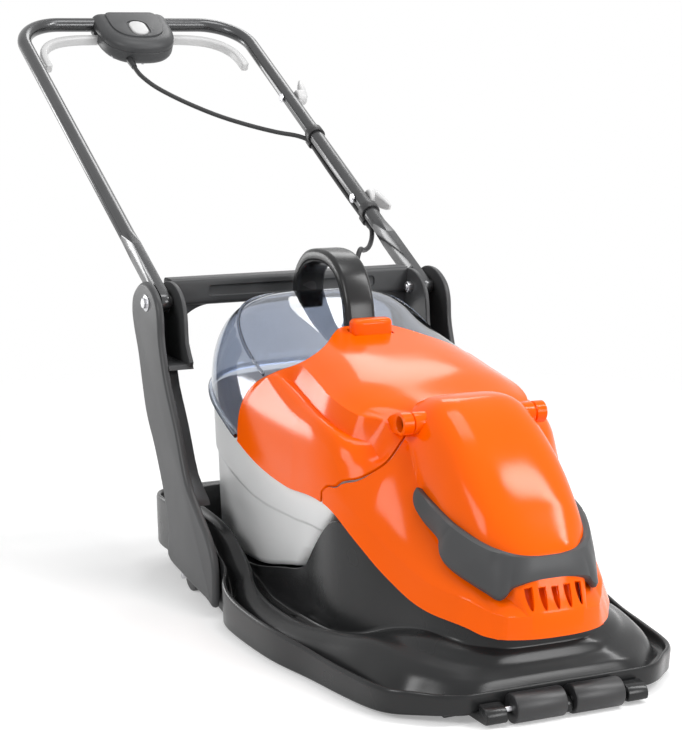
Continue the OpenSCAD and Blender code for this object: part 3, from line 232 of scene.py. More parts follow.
def ring_faces(n, m):
    """Faces between n closed rings of m points each."""
    return [(i * m + j, i * m + (j + 1) % m, (i + 1) * m + (j + 1) % m, (i + 1) * m + j)
            for i in range(n - 1) for j in range(m)]


def ring_solid(rings):
    """Points and faces of a closed solid through rings of equal count."""
    rings = np.asarray(rings, float)
    n, m = rings.shape[:2]
    faces = ring_faces(n, m)
    for j in range(m):
        k = (j + 1) % m
        faces += [(n * m, k, j), (n * m + 1, (n - 1) * m + j, (n - 1) * m + k)]
    return np.vstack([rings.reshape(-1, 3), rings[0].mean(0), rings[-1].mean(0)]), faces


def toward(d, distance):
    """A step along each vector, at most a share of its length."""
    return d * np.minimum(distance / (np.linalg.norm(d, axis=-1, keepdims=True) + TINY), CORNER_SHARE)


def rounded(rings, radius, steps):
    """Rings with each corner of their profile turned into a small arc."""
    radius = np.broadcast_to(radius, len(rings))
    out = [rings[0]]
    for before, ring, after, r in zip(rings, rings[1:], rings[2:], radius[1:]):
        start, end = ring + toward(before - ring, r), ring + toward(after - ring, r)
        for t in np.linspace(0, 1, steps):
            out.append((1 - t) ** 2 * start + 2 * t * (1 - t) * ring + t * t * end)
    out.append(rings[-1])
    return np.array(out)


def closed_line(points, steps):
    """A smooth closed outline through a few points."""
    a, b, c, d = (np.roll(np.asarray(points, float), k, 0) for k in (1, 0, -1, -2))
    return np.stack([hermite(b, c, (c - a) / 2, (d - b) / 2, k / steps)
                     for k in range(steps)], 1).reshape(-1, 2)


def directions(line):
    """Unit vectors along an open line."""
    along = np.gradient(line, axis=0)
    return along / np.linalg.norm(along, axis=1, keepdims=True)


def inset(outline, distance):
    """A closed outline moved inward by a distance."""
    p = np.asarray(outline, float)
    along = np.roll(p, -1, 0) - np.roll(p, 1, 0)
    along /= np.linalg.norm(along, axis=1, keepdims=True) + TINY
    x, y = p.T
    side = np.sign(np.sum(x * np.roll(y, -1) - np.roll(x, -1) * y))
    return p + np.stack([-along[:, 1], along[:, 0]], 1) * distance * side


def slab(outline, low, high, edges, place, steps=5):
    """A plate with rounded rims, drawn from an outline between two levels and placed in space."""
    turns = np.linspace(0, math.pi / 2, steps)
    levels = [(edges[0] * (1 - math.sin(a)), low + edges[0] * (1 - math.cos(a))) for a in turns]
    levels += [(edges[1] * (1 - math.sin(a)), high - edges[1] * (1 - math.cos(a))) for a in turns[::-1]]
    n, m = len(levels), len(outline)
    rings = [place(*inset(outline, share).T, np.full(m, level)) for share, level in levels]
    return np.vstack(rings), ring_faces(n, m) + [tuple(range(m)), tuple(range((n - 1) * m, n * m))]


def across(y, z, x):
    return np.stack([x, y, z], 1)


def along_y(x, z, y):
    return np.stack([x, y, z], 1)


def upright(x, y, z):
    return np.stack([x, y, z], 1)


def soft_box(u0, u1, v0, v1, r):
    """A rectangle with rounded corners."""
    corners = [(u1 - r, v1 - r, 0), (u0 + r, v1 - r, 90), (u0 + r, v0 + r, 180), (u1 - r, v0 + r, 270)]
    return np.array([(u + r * math.cos(math.radians(a + k)), v + r * math.sin(math.radians(a + k)))
                     for u, v, a in corners for k in np.linspace(0, 90, 7)])


def box_shape(low, high):
    (x0, y0, z0), (x1, y1, z1) = low, high
    return ring_solid([[(x0, y0, z), (x1, y0, z), (x1, y1, z), (x0, y1, z)] for z in (z0, z1)])


def lathe(profile, centre, axis, count=48):
    """Points and faces of a solid turned round an axis from (along, radius) pairs."""
    u = np.cross(axis, Z_AXIS if abs(axis[2]) < 0.9 else X_AXIS)
    v = np.cross(axis, u)
    turn = np.linspace(0, 2 * math.pi, count, endpoint=False)
    circle = np.cos(turn)[:, None] * u + np.sin(turn)[:, None] * v
    return ring_solid([np.asarray(centre) + axis * x + circle * r for x, r in profile])


def soft_rod(r, x0, x1, edge):
    """Profile of a rod with rounded rims."""
    turns = np.linspace(0, math.pi / 2, 4)
    start = [(x0 + edge * (1 - math.cos(a)), r - edge * (1 - math.sin(a))) for a in turns]
    return start + [(x1 - (x - x0), y) for x, y in reversed(start)]


def together(*shapes):
    points, faces, at = [], [], 0
    for p, f in shapes:
        points.append(p)
        faces += [tuple(i + at for i in face) for face in f]
        at += len(p)
    return np.vstack(points), faces


def flip_x(shape):
    points, faces = shape
    return points * np.array([-1, 1, 1]), [tuple(reversed(f)) for f in faces]


def both_sides(shape):
    return together(shape, flip_x(shape))


def both_halves(line):
    """A line or rows of points from their right half, which starts in the middle."""
    return np.vstack([line[:0:-1] * [-1, 1, 1], line])


def add_object(name, data):
    obj = bpy.data.objects.new(name, data)
    bpy.context.scene.collection.objects.link(obj)
    return obj


def turned_out(mesh):
    """Joins a mesh's points and turns its faces outward."""
    bm = bmesh.new()
    bm.from_mesh(mesh)
    bmesh.ops.remove_doubles(bm, verts=bm.verts, dist=WELD)
    bmesh.ops.recalc_face_normals(bm, faces=bm.faces)
    bm.to_mesh(mesh)
    bm.free()
    return mesh


def build(name, shape):
    """A plain object from points in millimetres."""
    points, faces = shape
    mesh = bpy.data.meshes.new(name)
    mesh.from_pydata(row(points).tolist(), [], [list(f) for f in faces])
    return add_object(name, turned_out(mesh))


def evaluated_mesh(obj):
    """A new mesh of the object as its modifiers leave it."""
    bpy.context.view_layer.update()
    return bpy.data.meshes.new_from_object(obj.evaluated_get(bpy.context.evaluated_depsgraph_get()))


def settle(obj):
    """Applies the object's modifiers to its mesh."""
    mesh = evaluated_mesh(obj)
    obj.modifiers.clear()
    old, obj.data = obj.data, mesh
    mesh.name = obj.name
    bpy.data.meshes.remove(old)
    return obj


def cut(obj, name, shape):
    """Cuts a closed solid out of the object."""
    cutter = build(name, shape)
    change = obj.modifiers.new("cut", "BOOLEAN")
    change.object, change.operation, change.solver = cutter, "DIFFERENCE", "EXACT"
    settle(obj)
    mesh = cutter.data
    bpy.data.objects.remove(cutter)
    bpy.data.meshes.remove(mesh)


def shade(obj, angle):
    mesh = obj.data
    mesh.polygons.foreach_set("use_smooth", [True] * len(mesh.polygons))
    mesh.set_sharp_from_angle(angle=math.radians(angle))


def finish(obj, slot, body, *replaced, angle=SMOOTH_ANGLE):
    """Gives a piece its finish and its body, and hides the solids it stands for."""
    shade(obj, angle)
    obj.data.materials.clear()
    obj.data.materials.append(bpy.data.materials[slot])
    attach(obj, body)
    if replaced:
        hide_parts(*replaced)


def make(name, shape, slot, body, *replaced, angle=SMOOTH_ANGLE):
    """A finished piece from points in millimetres."""
    finish(build(name, shape), slot, body, *replaced, angle=angle)


def dress(name, node, edge, angle=32):
    """Replaces a solid by a copy with joined faces and softened edges, on its body and in its finish."""
    mesh = NODES[node].data.copy()
    mesh.name = name
    bm = bmesh.new()
    bm.from_mesh(mesh)
    bmesh.ops.remove_doubles(bm, verts=bm.verts, dist=2 * WELD)
    bmesh.ops.dissolve_limit(bm, angle_limit=math.radians(0.5), verts=bm.verts, edges=bm.edges,
                             use_dissolve_boundaries=False)
    bm.to_mesh(mesh)
    bm.free()
    obj = add_object(name, mesh)
    change = obj.modifiers.new("edges", "BEVEL")
    change.width, change.segments, change.use_clamp_overlap = edge * MM, 2, True
    change.limit_method, change.angle_limit = "ANGLE", math.radians(angle)
    change.miter_outer = "MITER_ARC"
    finish(settle(obj), SLOT_OF[node], BODY_OF[node], node)


def dress_each(*rows):
    for name, node, edge in rows:
        dress(name, node, edge)


# Finishes

GRAIN_DEPTH = 0.0004
TONE_STOPS, GLOSS_RANGE, GLOSS_SHIFT = (0.35, 0.65), (0.3, 0.7), 0.12
WHITE = (1, 1, 1, 1)


def set_inputs(node, **values):
    """Sets a node's sockets, whose names have underscores here for spaces."""
    for key, value in values.items():
        node.inputs[key.replace("_", " ")].default_value = value


def add_nodes(tree, *kinds):
    return [tree.nodes.new(kind) for kind in kinds]


def wire(tree, *links):
    """Joins sockets, each link given as (node, output, node, input)."""
    for start, output, end, entry in links:
        tree.links.new(start.outputs[output], end.inputs[entry])


def start_material(name):
    mat = bpy.data.materials.get(name) or bpy.data.materials.new(name)
    mat.use_nodes = True
    tree = mat.node_tree
    tree.nodes.clear()
    out, shader = add_nodes(tree, "ShaderNodeOutputMaterial", "ShaderNodeBsdfPrincipled")
    wire(tree, (shader, "BSDF", out, "Surface"))
    return mat, tree, shader, out


def noise(tree, scale, detail, stretch):
    """Noise over the object's own coordinates."""
    where, texture = add_nodes(tree, "ShaderNodeTexCoord", "ShaderNodeTexNoise")
    set_inputs(texture, Scale=scale, Detail=detail)
    source = (where, "Object")
    if stretch:
        mapping = tree.nodes.new("ShaderNodeMapping")
        set_inputs(mapping, Scale=stretch)
        wire(tree, (*source, mapping, "Vector"))
        source = (mapping, "Vector")
    wire(tree, (*source, texture, "Vector"))
    return texture


def shaded(colour, factor):
    return tuple(min(1.0, c * factor) for c in colour[:3]) + (1.0,)


def surface(name, colour, rough, vary, grain, bump, patch=14.0, stretch=None, **sockets):
    """A moulded, painted or metal surface: slow shifts of tone and gloss over a fine grain."""
    mat, tree, shader, _ = start_material(name)
    broad, fine = noise(tree, patch, 3.0, stretch), noise(tree, grain, 2.0, stretch)
    tone, gloss, relief = add_nodes(tree, "ShaderNodeValToRGB", "ShaderNodeMapRange", "ShaderNodeBump")
    for stop, place, factor in zip(tone.color_ramp.elements, TONE_STOPS, (1 - vary, 1 + vary)):
        stop.position, stop.color = place, shaded(colour, factor)
    set_inputs(gloss, From_Min=GLOSS_RANGE[0], From_Max=GLOSS_RANGE[1], To_Min=rough * (1 - GLOSS_SHIFT),
               To_Max=rough * (1 + GLOSS_SHIFT))
    set_inputs(relief, Strength=bump, Distance=GRAIN_DEPTH)
    set_inputs(shader, **sockets)
    wire(tree, (broad, "Fac", tone, "Fac"), (tone, "Color", shader, "Base Color"),
         (broad, "Fac", gloss, "Value"), (gloss, "Result", shader, "Roughness"),
         (fine, "Fac", relief, "Height"), (relief, "Normal", shader, "Normal"))
    mat.diffuse_color = shaded(colour, 1)


def tint(name, use, default):
    return FloatVectorProperty(name=name, description=use, subtype="COLOR", default=default, min=0, max=1)


def millimetres(name, use, default, low, high):
    return FloatProperty(name=name, description=use + ", in millimetres", default=default, min=low, max=high)


class MowerFinishes(bpy.types.PropertyGroup):
    orange: tint("Orange", "Colour of the hood and the lid's front", (1.0, 0.122, 0.0))
    charcoal: tint("Charcoal", "Colour of the deck and the carry handle", (0.016, 0.0164, 0.017))
    mid_grey: tint("Mid grey", "Colour of the yoke, bumper and switch box", (0.056, 0.057, 0.059))
    pale_grey: tint("Pale grey", "Colour of the bail, the button and the hooks", (0.60, 0.60, 0.60))
    tube: tint("Tube paint", "Colour of the handle's tube", (0.055, 0.056, 0.058))
    smoke: tint("Smoke", "Tint of the tub", (0.86, 0.87, 0.87))
    clear: tint("Clear", "Tint of the lid's window", (0.52, 0.56, 0.64))


class MowerSizes(bpy.types.PropertyGroup):
    moulded_edge: millimetres("Moulded edge", "Rounding of the yoke's edges", 3.0, 0.5, 6)
    small_edge: millimetres("Small edge", "Rounding of small mouldings", 1.2, 0.2, 3)
    lid_ridge: millimetres("Lid ridge", "Height of the ridges beside the lid's crown", 9.0, 0, 12)
    cable_sides: IntProperty(name="Cable sides", description="Facets round the cable", default=16, min=8,
                             max=32)


class MOWER_OT_finishes(bpy.types.Operator):
    """Makes the surfaces that the mower's pieces share"""
    bl_idname = "mower.finishes"
    bl_label = "Finishes"

    def execute(self, context):
        look = context.scene.mower_finishes
        surface("orange_shell", look.orange, 0.13, vary=0.02, grain=420.0, bump=0.012, patch=7.0,
                Specular_IOR_Level=0.14)
        surface("charcoal_shell", look.charcoal, 0.25, vary=0.08, grain=1500.0, bump=0.06,
                Specular_IOR_Level=0.28)
        surface("mid_grey_plastic", look.mid_grey, 0.42, vary=0.08, grain=1700.0, bump=0.1,
                Specular_IOR_Level=0.3)
        surface("pale_grey_plastic", look.pale_grey, 0.40, vary=0.04, grain=1500.0, bump=0.05)
        surface("black_plastic", (0.018, 0.018, 0.019), 0.42, vary=0.15, grain=1500.0, bump=0.1)
        surface("cable_rubber", (0.014, 0.014, 0.015), 0.55, vary=0.15, grain=900.0, bump=0.1)
        surface("handle_paint", look.tube, 0.27, vary=0.08, grain=2600.0, bump=0.015, Metallic=0.55,
                Coat_Weight=0.3, Coat_Roughness=0.12)
        surface("steel", (0.62, 0.62, 0.64), 0.28, vary=0.06, grain=1200.0, bump=0.05, Metallic=1.0)
        surface("blade_steel", (0.36, 0.36, 0.38), 0.36, vary=0.1, grain=900.0, bump=0.1,
                stretch=(1, 12, 12), Metallic=1.0)
        surface("core_steel", (0.30, 0.17, 0.09), 0.4, vary=0.1, grain=800.0, bump=0.2,
                stretch=(1, 1, 14), Metallic=0.8)
        surface("smoky_plastic", look.smoke, 0.3, vary=0.01, grain=1300.0, bump=0.02, patch=3.0,
                Transmission_Weight=0.14, IOR=1.49)
        surface("clear_plastic", look.clear, 0.035, vary=0.02, grain=300.0, bump=0.004,
                Transmission_Weight=1.0, IOR=1.45)
        for node, obj in NODES.items():
            for slot in obj.material_slots:
                slot.material = bpy.data.materials[SLOT_OF[node]]
        return {"FINISHED"}


# Stage

CAMERA_TURN, CAMERA_RISE = math.radians(-24.9), math.radians(10.2)
CAMERA_PLACE = (-1.0295, -1.983 - MID_Y * MM, 0.711)
CAMERA_LENS, SENSOR_H = 92.69, 36.0
FLOOR_REACH, FLOOR_FADE, FLOOR_GLOW = 9, (0.75, 1.5), 0.3
WORLD_SHOWN, WORLD_LIGHT = 1.0, 0.36
# Each lamp's name, place, aim, width and height, and power
LAMPS = (
    ("left", (-2.2, -1.1, 1.6), (0, 0.0, 0.2), (0.9, 0.9), 24),
    ("top", (0.3, -0.2, 2.6), (0, -0.2, 0.2), (0.9, 0.9), 18),
    ("right", (1.5, -1.25, 1.95), (0, -0.25, 0.2), (0.3, 1.3), 30),
    ("front", (1.0, -2.5, 0.9), (0, -0.3, 0.1), (0.8, 0.8), 20),
    ("back", (1.2, 1.9, 2.3), (0, 0.1, 0.3), (0.8, 0.8), 9),
    ("rear", (-1.4, 2.4, 0.45), (0, 0.0, 0.25), (0.7, 0.7), 12))


def floor_material():
    """A pale floor that keeps the shadow near the object and fades into the white beyond it."""
    mat, tree, shader, out = start_material("pale_floor")
    set_inputs(shader, Base_Color=(0.82, 0.82, 0.82, 1), Roughness=0.9, Specular_IOR_Level=0.1,
               Emission_Color=WHITE, Emission_Strength=FLOOR_GLOW)
    where, far, fade, clear, blend = add_nodes(
        tree, "ShaderNodeTexCoord", "ShaderNodeVectorMath", "ShaderNodeMapRange",
        "ShaderNodeBsdfTransparent", "ShaderNodeMixShader")
    far.operation = "LENGTH"
    set_inputs(fade, From_Min=FLOOR_FADE[0], From_Max=FLOOR_FADE[1])
    wire(tree, (where, "Object", far, 0), (far, "Value", fade, "Value"), (fade, "Result", blend, "Fac"),
         (shader, "BSDF", blend, 1), (clear, "BSDF", blend, 2), (blend, "Shader", out, "Surface"))
    return mat


def studio_world():
    """A white backdrop for the camera, with less light from it on the object."""
    world = bpy.data.worlds.new("studio")
    world.use_nodes = True
    tree = world.node_tree
    tree.nodes.clear()
    out, shown, lit, blend, path, either, any_of = add_nodes(
        tree, "ShaderNodeOutputWorld", "ShaderNodeBackground", "ShaderNodeBackground", "ShaderNodeMixShader",
        "ShaderNodeLightPath", "ShaderNodeMath", "ShaderNodeMath")
    set_inputs(shown, Color=WHITE, Strength=WORLD_SHOWN)
    set_inputs(lit, Color=WHITE, Strength=WORLD_LIGHT)
    either.operation = any_of.operation = "MAXIMUM"
    wire(tree, (path, "Is Camera Ray", either, 0), (path, "Is Transmission Ray", either, 1),
         (either, 0, any_of, 0), (path, "Is Glossy Ray", any_of, 1), (any_of, 0, blend, "Fac"),
         (lit, "Background", blend, 1), (shown, "Background", blend, 2), (blend, "Shader", out, "Surface"))
    return world


class MOWER_OT_stage(bpy.types.Operator):
    """Sets the camera, the pale floor and the soft lamps"""
    bl_idname = "mower.stage"
    bl_label = "Stage"

    def execute(self, context):
        scene = context.scene
        back = Vector((math.sin(CAMERA_TURN) * math.cos(CAMERA_RISE),
                       -math.cos(CAMERA_TURN) * math.cos(CAMERA_RISE), math.sin(CAMERA_RISE)))
        right = Vector((math.cos(CAMERA_TURN), math.sin(CAMERA_TURN), 0))
        lens = bpy.data.cameras.new("camera")
        lens.sensor_fit, lens.sensor_height, lens.lens = "VERTICAL", SENSOR_H, CAMERA_LENS
        scene.camera = add_object("camera", lens)
        scene.camera.matrix_world = Matrix.Translation(CAMERA_PLACE) @ Matrix(
            (right, back.cross(right), back)).transposed().to_4x4()

        mesh = bpy.data.meshes.new("floor")
        r = FLOOR_REACH
        mesh.from_pydata([(-r, -r, 0), (r, -r, 0), (r, r, 0), (-r, r, 0)], [], [(0, 1, 2, 3)])
        mesh.materials.append(floor_material())
        add_object("floor", mesh)

        scene.world = studio_world()
        for name, place, aim, size, watts in LAMPS:
            lamp = bpy.data.lights.new(name, "AREA")
            lamp.shape, lamp.energy = "RECTANGLE", watts
            lamp.size, lamp.size_y = size
            obj = add_object(name, lamp)
            obj.location = place
            obj.rotation_euler = (Vector(aim) - Vector(place)).to_track_quat("-Z", "Y").to_euler()
        scene.view_settings.view_transform = "Standard"
        return {"FINISHED"}


# Cable

CABLE_R, ROUTE_STEPS, ROUND_ANGLE = 3.5, 6, 60
CLIP_X = HANDLE_HALF_W - 4
CABLE_Z = -TUBE_R - CABLE_R - 0.9
GLAND_X = -25.0
UPPER_ROUTE = [
    (GLAND_X, HANDLE_LEN - 92, -12.5), (GLAND_X, 644, -12.5), (-20, 622, -15), (-2, 593.4, -20),
    (34, 558.2, -26), (76, 523, -30), (116, 490, -29), (150, 459.2, -24), (174, 437.2, -18),
    (CLIP_X, 418, CABLE_Z), (CLIP_X, 396, CABLE_Z), (CLIP_X, 340, CABLE_Z - 1), (CLIP_X, 280, CABLE_Z - 1),
    (CLIP_X, 210, CABLE_Z), (CLIP_X, 176, CABLE_Z)]
LOWER_ROUTE = [(CLIP_X, 176, CABLE_Z), (CLIP_X, 166, CABLE_Z), (180, 150, -18), (167, 128, -15),
               (150, 104, -5), (132, 82, 8)]
CROSSBAR_Y, CROSSBAR_D, CROSSBAR_Z, CROSSBAR_H, GROMMET_X = 388.0, 32.0, 350.0, 36.0, 103.0
GROMMET_Y, GROMMET_TOP = CROSSBAR_Y + CROSSBAR_D / 2, CROSSBAR_Z + CROSSBAR_H + 8
GROMMET_ROUTE = [(112, GROMMET_Y + 8, GROMMET_TOP + 16), (GROMMET_X + 2, GROMMET_Y + 1, GROMMET_TOP + 9),
                 (GROMMET_X, GROMMET_Y, GROMMET_TOP + 1), (GROMMET_X, GROMMET_Y, GROMMET_TOP - 6)]


def sweep_tree():
    """Geometry Nodes that sweep a round section along a curve."""
    tree = bpy.data.node_groups.new("cable_sweep", "GeometryNodeTree")

    def socket(name, kind, way="INPUT"):
        return tree.interface.new_socket(name, in_out=way, socket_type="NodeSocket" + kind).identifier

    socket("Geometry", "Geometry")
    controls = socket("Radius", "Float"), socket("Sides", "Int"), socket("Finish", "Material")
    socket("Geometry", "Geometry", "OUTPUT")
    start, end, ring, tube, real, paint, even = add_nodes(
        tree, "NodeGroupInput", "NodeGroupOutput", "GeometryNodeCurvePrimitiveCircle",
        "GeometryNodeCurveToMesh", "GeometryNodeRealizeInstances", "GeometryNodeSetMaterial",
        "GeometryNodeSetShadeSmooth")
    set_inputs(tube, Fill_Caps=True)
    wire(tree, (start, "Sides", ring, "Resolution"), (start, "Radius", ring, "Radius"),
         (start, "Geometry", tube, "Curve"), (ring, "Curve", tube, "Profile Curve"),
         (tube, "Mesh", even, "Geometry"), (even, "Geometry", real, "Geometry"),
         (real, "Geometry", paint, "Geometry"), (start, "Finish", paint, "Material"),
         (paint, "Geometry", end, "Geometry"))
    return tree, controls


def swept(name, sweep, route, radius, sides, slot):
    """A round cord along a route in millimetres, as a plain mesh."""
    tree, controls = sweep
    line = bpy.data.curves.new(name + "_line", "CURVE")
    line.dimensions = "3D"
    spline = line.splines.new("POLY")
    spline.points.add(len(route) - 1)
    for point, p in zip(spline.points, row(route)):
        point.co = (*p, 1)
    guide = add_object(name + "_guide", line)
    change = guide.modifiers.new("sweep", "NODES")
    change.node_group = tree
    for key, value in zip(controls, (radius * MM, sides, bpy.data.materials[slot])):
        change[key] = value
    mesh = evaluated_mesh(guide)
    mesh.name = name
    bpy.data.objects.remove(guide)
    bpy.data.curves.remove(line)
    return add_object(name, turned_out(mesh))


class MOWER_OT_cable(bpy.types.Operator):
    """Lays the cable from the switch box down the right leg and into the crossbar"""
    bl_idname = "mower.cable"
    bl_label = "Cable"

    def execute(self, context):
        sweep = sweep_tree()
        sides = context.scene.mower_sizes.cable_sides
        upper = np.vstack([on_handle(smooth(UPPER_ROUTE, ROUTE_STEPS)), on_handle(UPPER_ROUTE[-1:])])
        obj = swept("cable_along_leg", sweep, upper, CABLE_R, sides, "cable_rubber")
        finish(obj, "cable_rubber", "handle", "cable_upper", angle=ROUND_ANGLE)
        row(upper)
        ends = np.vstack([on_handle(LOWER_ROUTE), np.array(GROMMET_ROUTE)])
        lower = np.vstack([smooth(ends, ROUTE_STEPS), ends[-1:]])
        obj = swept("cable_to_crossbar", sweep, lower, CABLE_R, sides, "cable_rubber")
        shade(obj, ROUND_ANGLE)
        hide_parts("cable_lower")
        path = row(lower)
        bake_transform(obj)
        dress_each(("gland_sleeve", "cable_gland", 0.4), ("crossbar_grommet", "cable_grommet", 0.4),
                   ("leg_clips", "cable_clips", 0.6))
        return {"FINISHED"}


# Hood, bumper and lid

NOSE_FLAT, HOOD_ROWS = 0.8, 64
NOSE_SHARES = np.concatenate([
    np.linspace(0, NOSE_FLAT, 13),
    (1 - np.linspace(dome(NOSE_FLAT, NOSE_P, NOSE_Q), 0, 15)[1:] ** NOSE_Q) ** (1 / NOSE_P)])
WING_SHARES = np.concatenate([[0.004], 1 - (1 - np.linspace(0.03, 1, 34)) ** 2.1])
APRON_FLARE, FRONT_BULGE, FRONT_TUCK = 9, 9, 14


def hood_shares(y, nose, wing):
    n = nose_at(y) / curve(FLANK, y)
    return np.where(np.isnan(wing), n * np.nan_to_num(nose), mix(n, 1, np.nan_to_num(wing)))


def hood_columns():
    """Each column's share of the nose or of the wing beside it, and where it ends at the seam."""
    nose = np.concatenate([NOSE_SHARES, np.full(len(WING_SHARES), np.nan)])
    wing = np.concatenate([np.full(len(NOSE_SHARES), np.nan), WING_SHARES])
    end = np.full(len(nose), -100.0)
    for _ in range(6):
        end = curve(SEAM, hood_shares(end, nose, wing)) - SEAM_GAP
    return nose, wing, end


def hood_grid(t):
    """The hood's points at a depth below its face."""
    nose, wing, end = hood_columns()
    grid = []
    for f in np.linspace(0, 1, HOOD_ROWS) ** 1.3:
        y = mix(-HOOD_FRONT, end, f)
        a = curve(FLANK, y)
        x = hood_shares(y, nose, wing) * a
        right = np.stack([x * (1 - t / a), y + t * (1 - f), hood_z(y, x) - t], 1)
        last = right[-1]
        foot = [last[0] + APRON_FLARE * ease((1 - f) * 3), last[1], curve(EDGE, last[1])]
        right = np.vstack([right, [foot]])
        share = np.minimum(right[:, 0] / 60, 1.1)
        right[:, 1] += (FRONT_TUCK * share ** 2.5 - FRONT_BULGE) * ease((-252 - right[:, 1]) / 45)
        grid.append(both_halves(right))
    front = grid[0] * [1.01, 1, 1] - [0, 0.8, 0]
    front[:, 2] = EDGE[0][1]
    return np.array([front] + grid)


VENT_COUNT, VENT_PITCH, VENT_Z, VENT_TILT, VENT_REACH = 5, 15.0, 116, math.radians(52), 14
VENT_LINE = [(-4.4, 14), (4.4, 14), (4.4, 6), (3.6, -2), (2.4, -9), (1.0, -13), (-1.0, -13), (-2.4, -9),
             (-3.6, -2), (-4.4, 6)]


def vent_cutter():
    """Tear-shaped prisms that cut the vents into the nose's foot."""
    shapes = []
    for k in range(VENT_COUNT):
        x0 = (k - (VENT_COUNT - 1) / 2) * VENT_PITCH
        y0 = -HOOD_FRONT + 12 - 8 * (1 - (x0 / 42) ** 2)
        shapes.append(ring_solid([[
            (x0 + x, y0 + up * math.cos(VENT_TILT) * 0.75 - depth * math.sin(VENT_TILT),
             VENT_Z + up * math.sin(VENT_TILT) + depth * math.cos(VENT_TILT))
            for x, up in VENT_LINE] for depth in (-VENT_REACH, VENT_REACH)]))
    return together(*shapes)


TRUNNION = (0, TRUNNION_Y, TRUNNION_Z)
BOSS_R, PIN_R = 12.5, 4
BACKING_ROWS, BACKING_SIDE, BACKING_DEPTHS = 24, 27, (6.5, 8.0)


class MOWER_OT_hood(bpy.types.Operator):
    """Makes the orange front hood with its vents and trunnions"""
    bl_idname = "mower.hood"
    bl_label = "Front hood"

    def execute(self, context):
        obj = build("front_hood_shell", sheet(hood_grid(0), hood_grid(HOOD_WALL)))
        cut(obj, "vents", vent_cutter())
        finish(obj, "orange_shell", "chassis", "front_hood", angle=28)
        middle = len(NOSE_SHARES) + len(WING_SHARES)
        part = np.s_[:BACKING_ROWS, middle - BACKING_SIDE:middle + BACKING_SIDE + 1]
        make("vent_backing", sheet(*(hood_grid(t)[part] for t in BACKING_DEPTHS)), "orange_shell", "chassis",
             angle=28)
        boss = lathe(soft_rod(BOSS_R, TRUNNION_X - 40, TRUNNION_X, 1.5), TRUNNION, X_AXIS)
        make("trunnion_bosses", both_sides(boss), "orange_shell", "chassis")
        pin = lathe(soft_rod(PIN_R, TRUNNION_X - 30, TRUNNION_X + 6, 0.5), TRUNNION, X_AXIS)
        make("hinge_pin_pair", both_sides(pin), SLOT_OF["hinge_pins"], BODY_OF["hinge_pins"], "hinge_pins")
        return {"FINISHED"}


BAND_LOW = [(0, -289, 137), (14, -289, 137), (28, -289, 136), (40, -287.5, 133), (47, -285, 127),
            (56, -283, 119), (63, -270, 124), (69, -258, 129), (80, -231, 139), (84, -213, 148),
            (82, -204, 160), (81, -200, 168), (82, -174, 178), (88, -158, 191), (86, -150, 201)]
BAND_HIGH = [(0, -282, 163), (11, -282, 163), (21, -282, 163.5), (30, -280, 164.5), (37, -277, 166),
             (44, -273, 168), (50, -268, 170.5), (56, -262, 173), (65, -246, 179), (72, -228, 186),
             (74, -220, 188.5), (75.5, -213, 191), (78, -187, 200), (80, -164, 208), (80, -150, 213)]
BAND_LIFT, BAND_FOOT, BAND_CROWN, BAND_EDGE = 8.0, 1.0, 1.5, 0.07
NOSE_HEART = [0, -170, 120]


def band_grid(shares, lift):
    """The band's points between its edges, lifted off the nose by a distance for each share of its height."""
    low, high = (both_halves(np.vstack([smooth(p, 4), p[-1:]])) for p in (BAND_LOW, BAND_HIGH))
    grid = np.array([mix(low, high, f) for f in shares])
    normal = np.cross(np.gradient(grid, axis=1), np.gradient(grid, axis=0))
    normal /= np.linalg.norm(normal, axis=-1, keepdims=True)
    away = np.sum(normal * (grid - NOSE_HEART), -1, keepdims=True)
    return grid + normal * np.sign(away) * np.asarray(lift)[:, None, None]


class MOWER_OT_bumper(bpy.types.Operator):
    """Makes the grey band round the nose"""
    bl_idname = "mower.bumper"
    bl_label = "Bumper"

    def execute(self, context):
        shares = np.concatenate([[0, 0.03, 0.07], np.linspace(0.12, 0.88, 15), [0.93, 0.97, 1.0]])
        drop = 3.0 * (ease((BAND_EDGE - shares) / BAND_EDGE) + ease((shares - 1 + BAND_EDGE) / BAND_EDGE))
        outer = band_grid(shares, BAND_LIFT - drop + BAND_CROWN * np.sin(shares * math.pi))
        inner = band_grid(shares, np.full(len(shares), BAND_FOOT))
        make("nose_band", sheet(outer, inner), "mid_grey_plastic", "chassis", "nose_bumper", angle=40)
        return {"FINISHED"}


VALLEY = [(-70, 0.60), (-63, 0.65), (-51, 0.73), (-29, 0.77), (8, 0.78), (38, 0.76), (74, 0.74), (128, 0.72),
          (170, 0.70)]
RIDGE = [(-70, 0.965), (-31, 0.965), (5, 0.955), (62, 0.94), (117, 0.915), (166, 0.885), (210, 0.87)]
COVE_AT, COVE_HEIGHT = [-0.12, 0, 0.3, 0.75, 1], [0, 0.2, -1.5, 0.4, 1]
COVER_ROWS, WINDOW_ROWS = 72, 48
# Shares of the cover's columns up to the cove's top, the cove's foot and the ridge
CROWN_END, COVE_END, RIDGE_END = 0.45, 0.57, 0.85


def lid_relief(y, s, height):
    """Height of the cove below the lid's crown and of the ridge beside it."""
    valley, ridge = curve(VALLEY, y), curve(RIDGE, y)
    a = np.abs(s)
    cove = np.interp((a - valley) / (ridge - valley), COVE_AT, COVE_HEIGHT)
    fall = np.clip((1 - a) / (1 - ridge), 0, 1)
    front = ease((y - curve(SEAM, a)) / 24)
    rear = ease((curve(JOIN, a) - y) / 18)
    return height * np.where(a < ridge, cove, fall) * front * rear


def lid_points(y, s, t, relief=0.0):
    """The lid's points at a depth below its face."""
    back = np.maximum(0, y - 300) / (LID_REAR - 300)
    z = body_z(y, s) - t
    if relief:
        z = z + lid_relief(y, s, relief)
    return np.stack([s * (curve(FLANK, y) - t), y - t * back, z], -1)


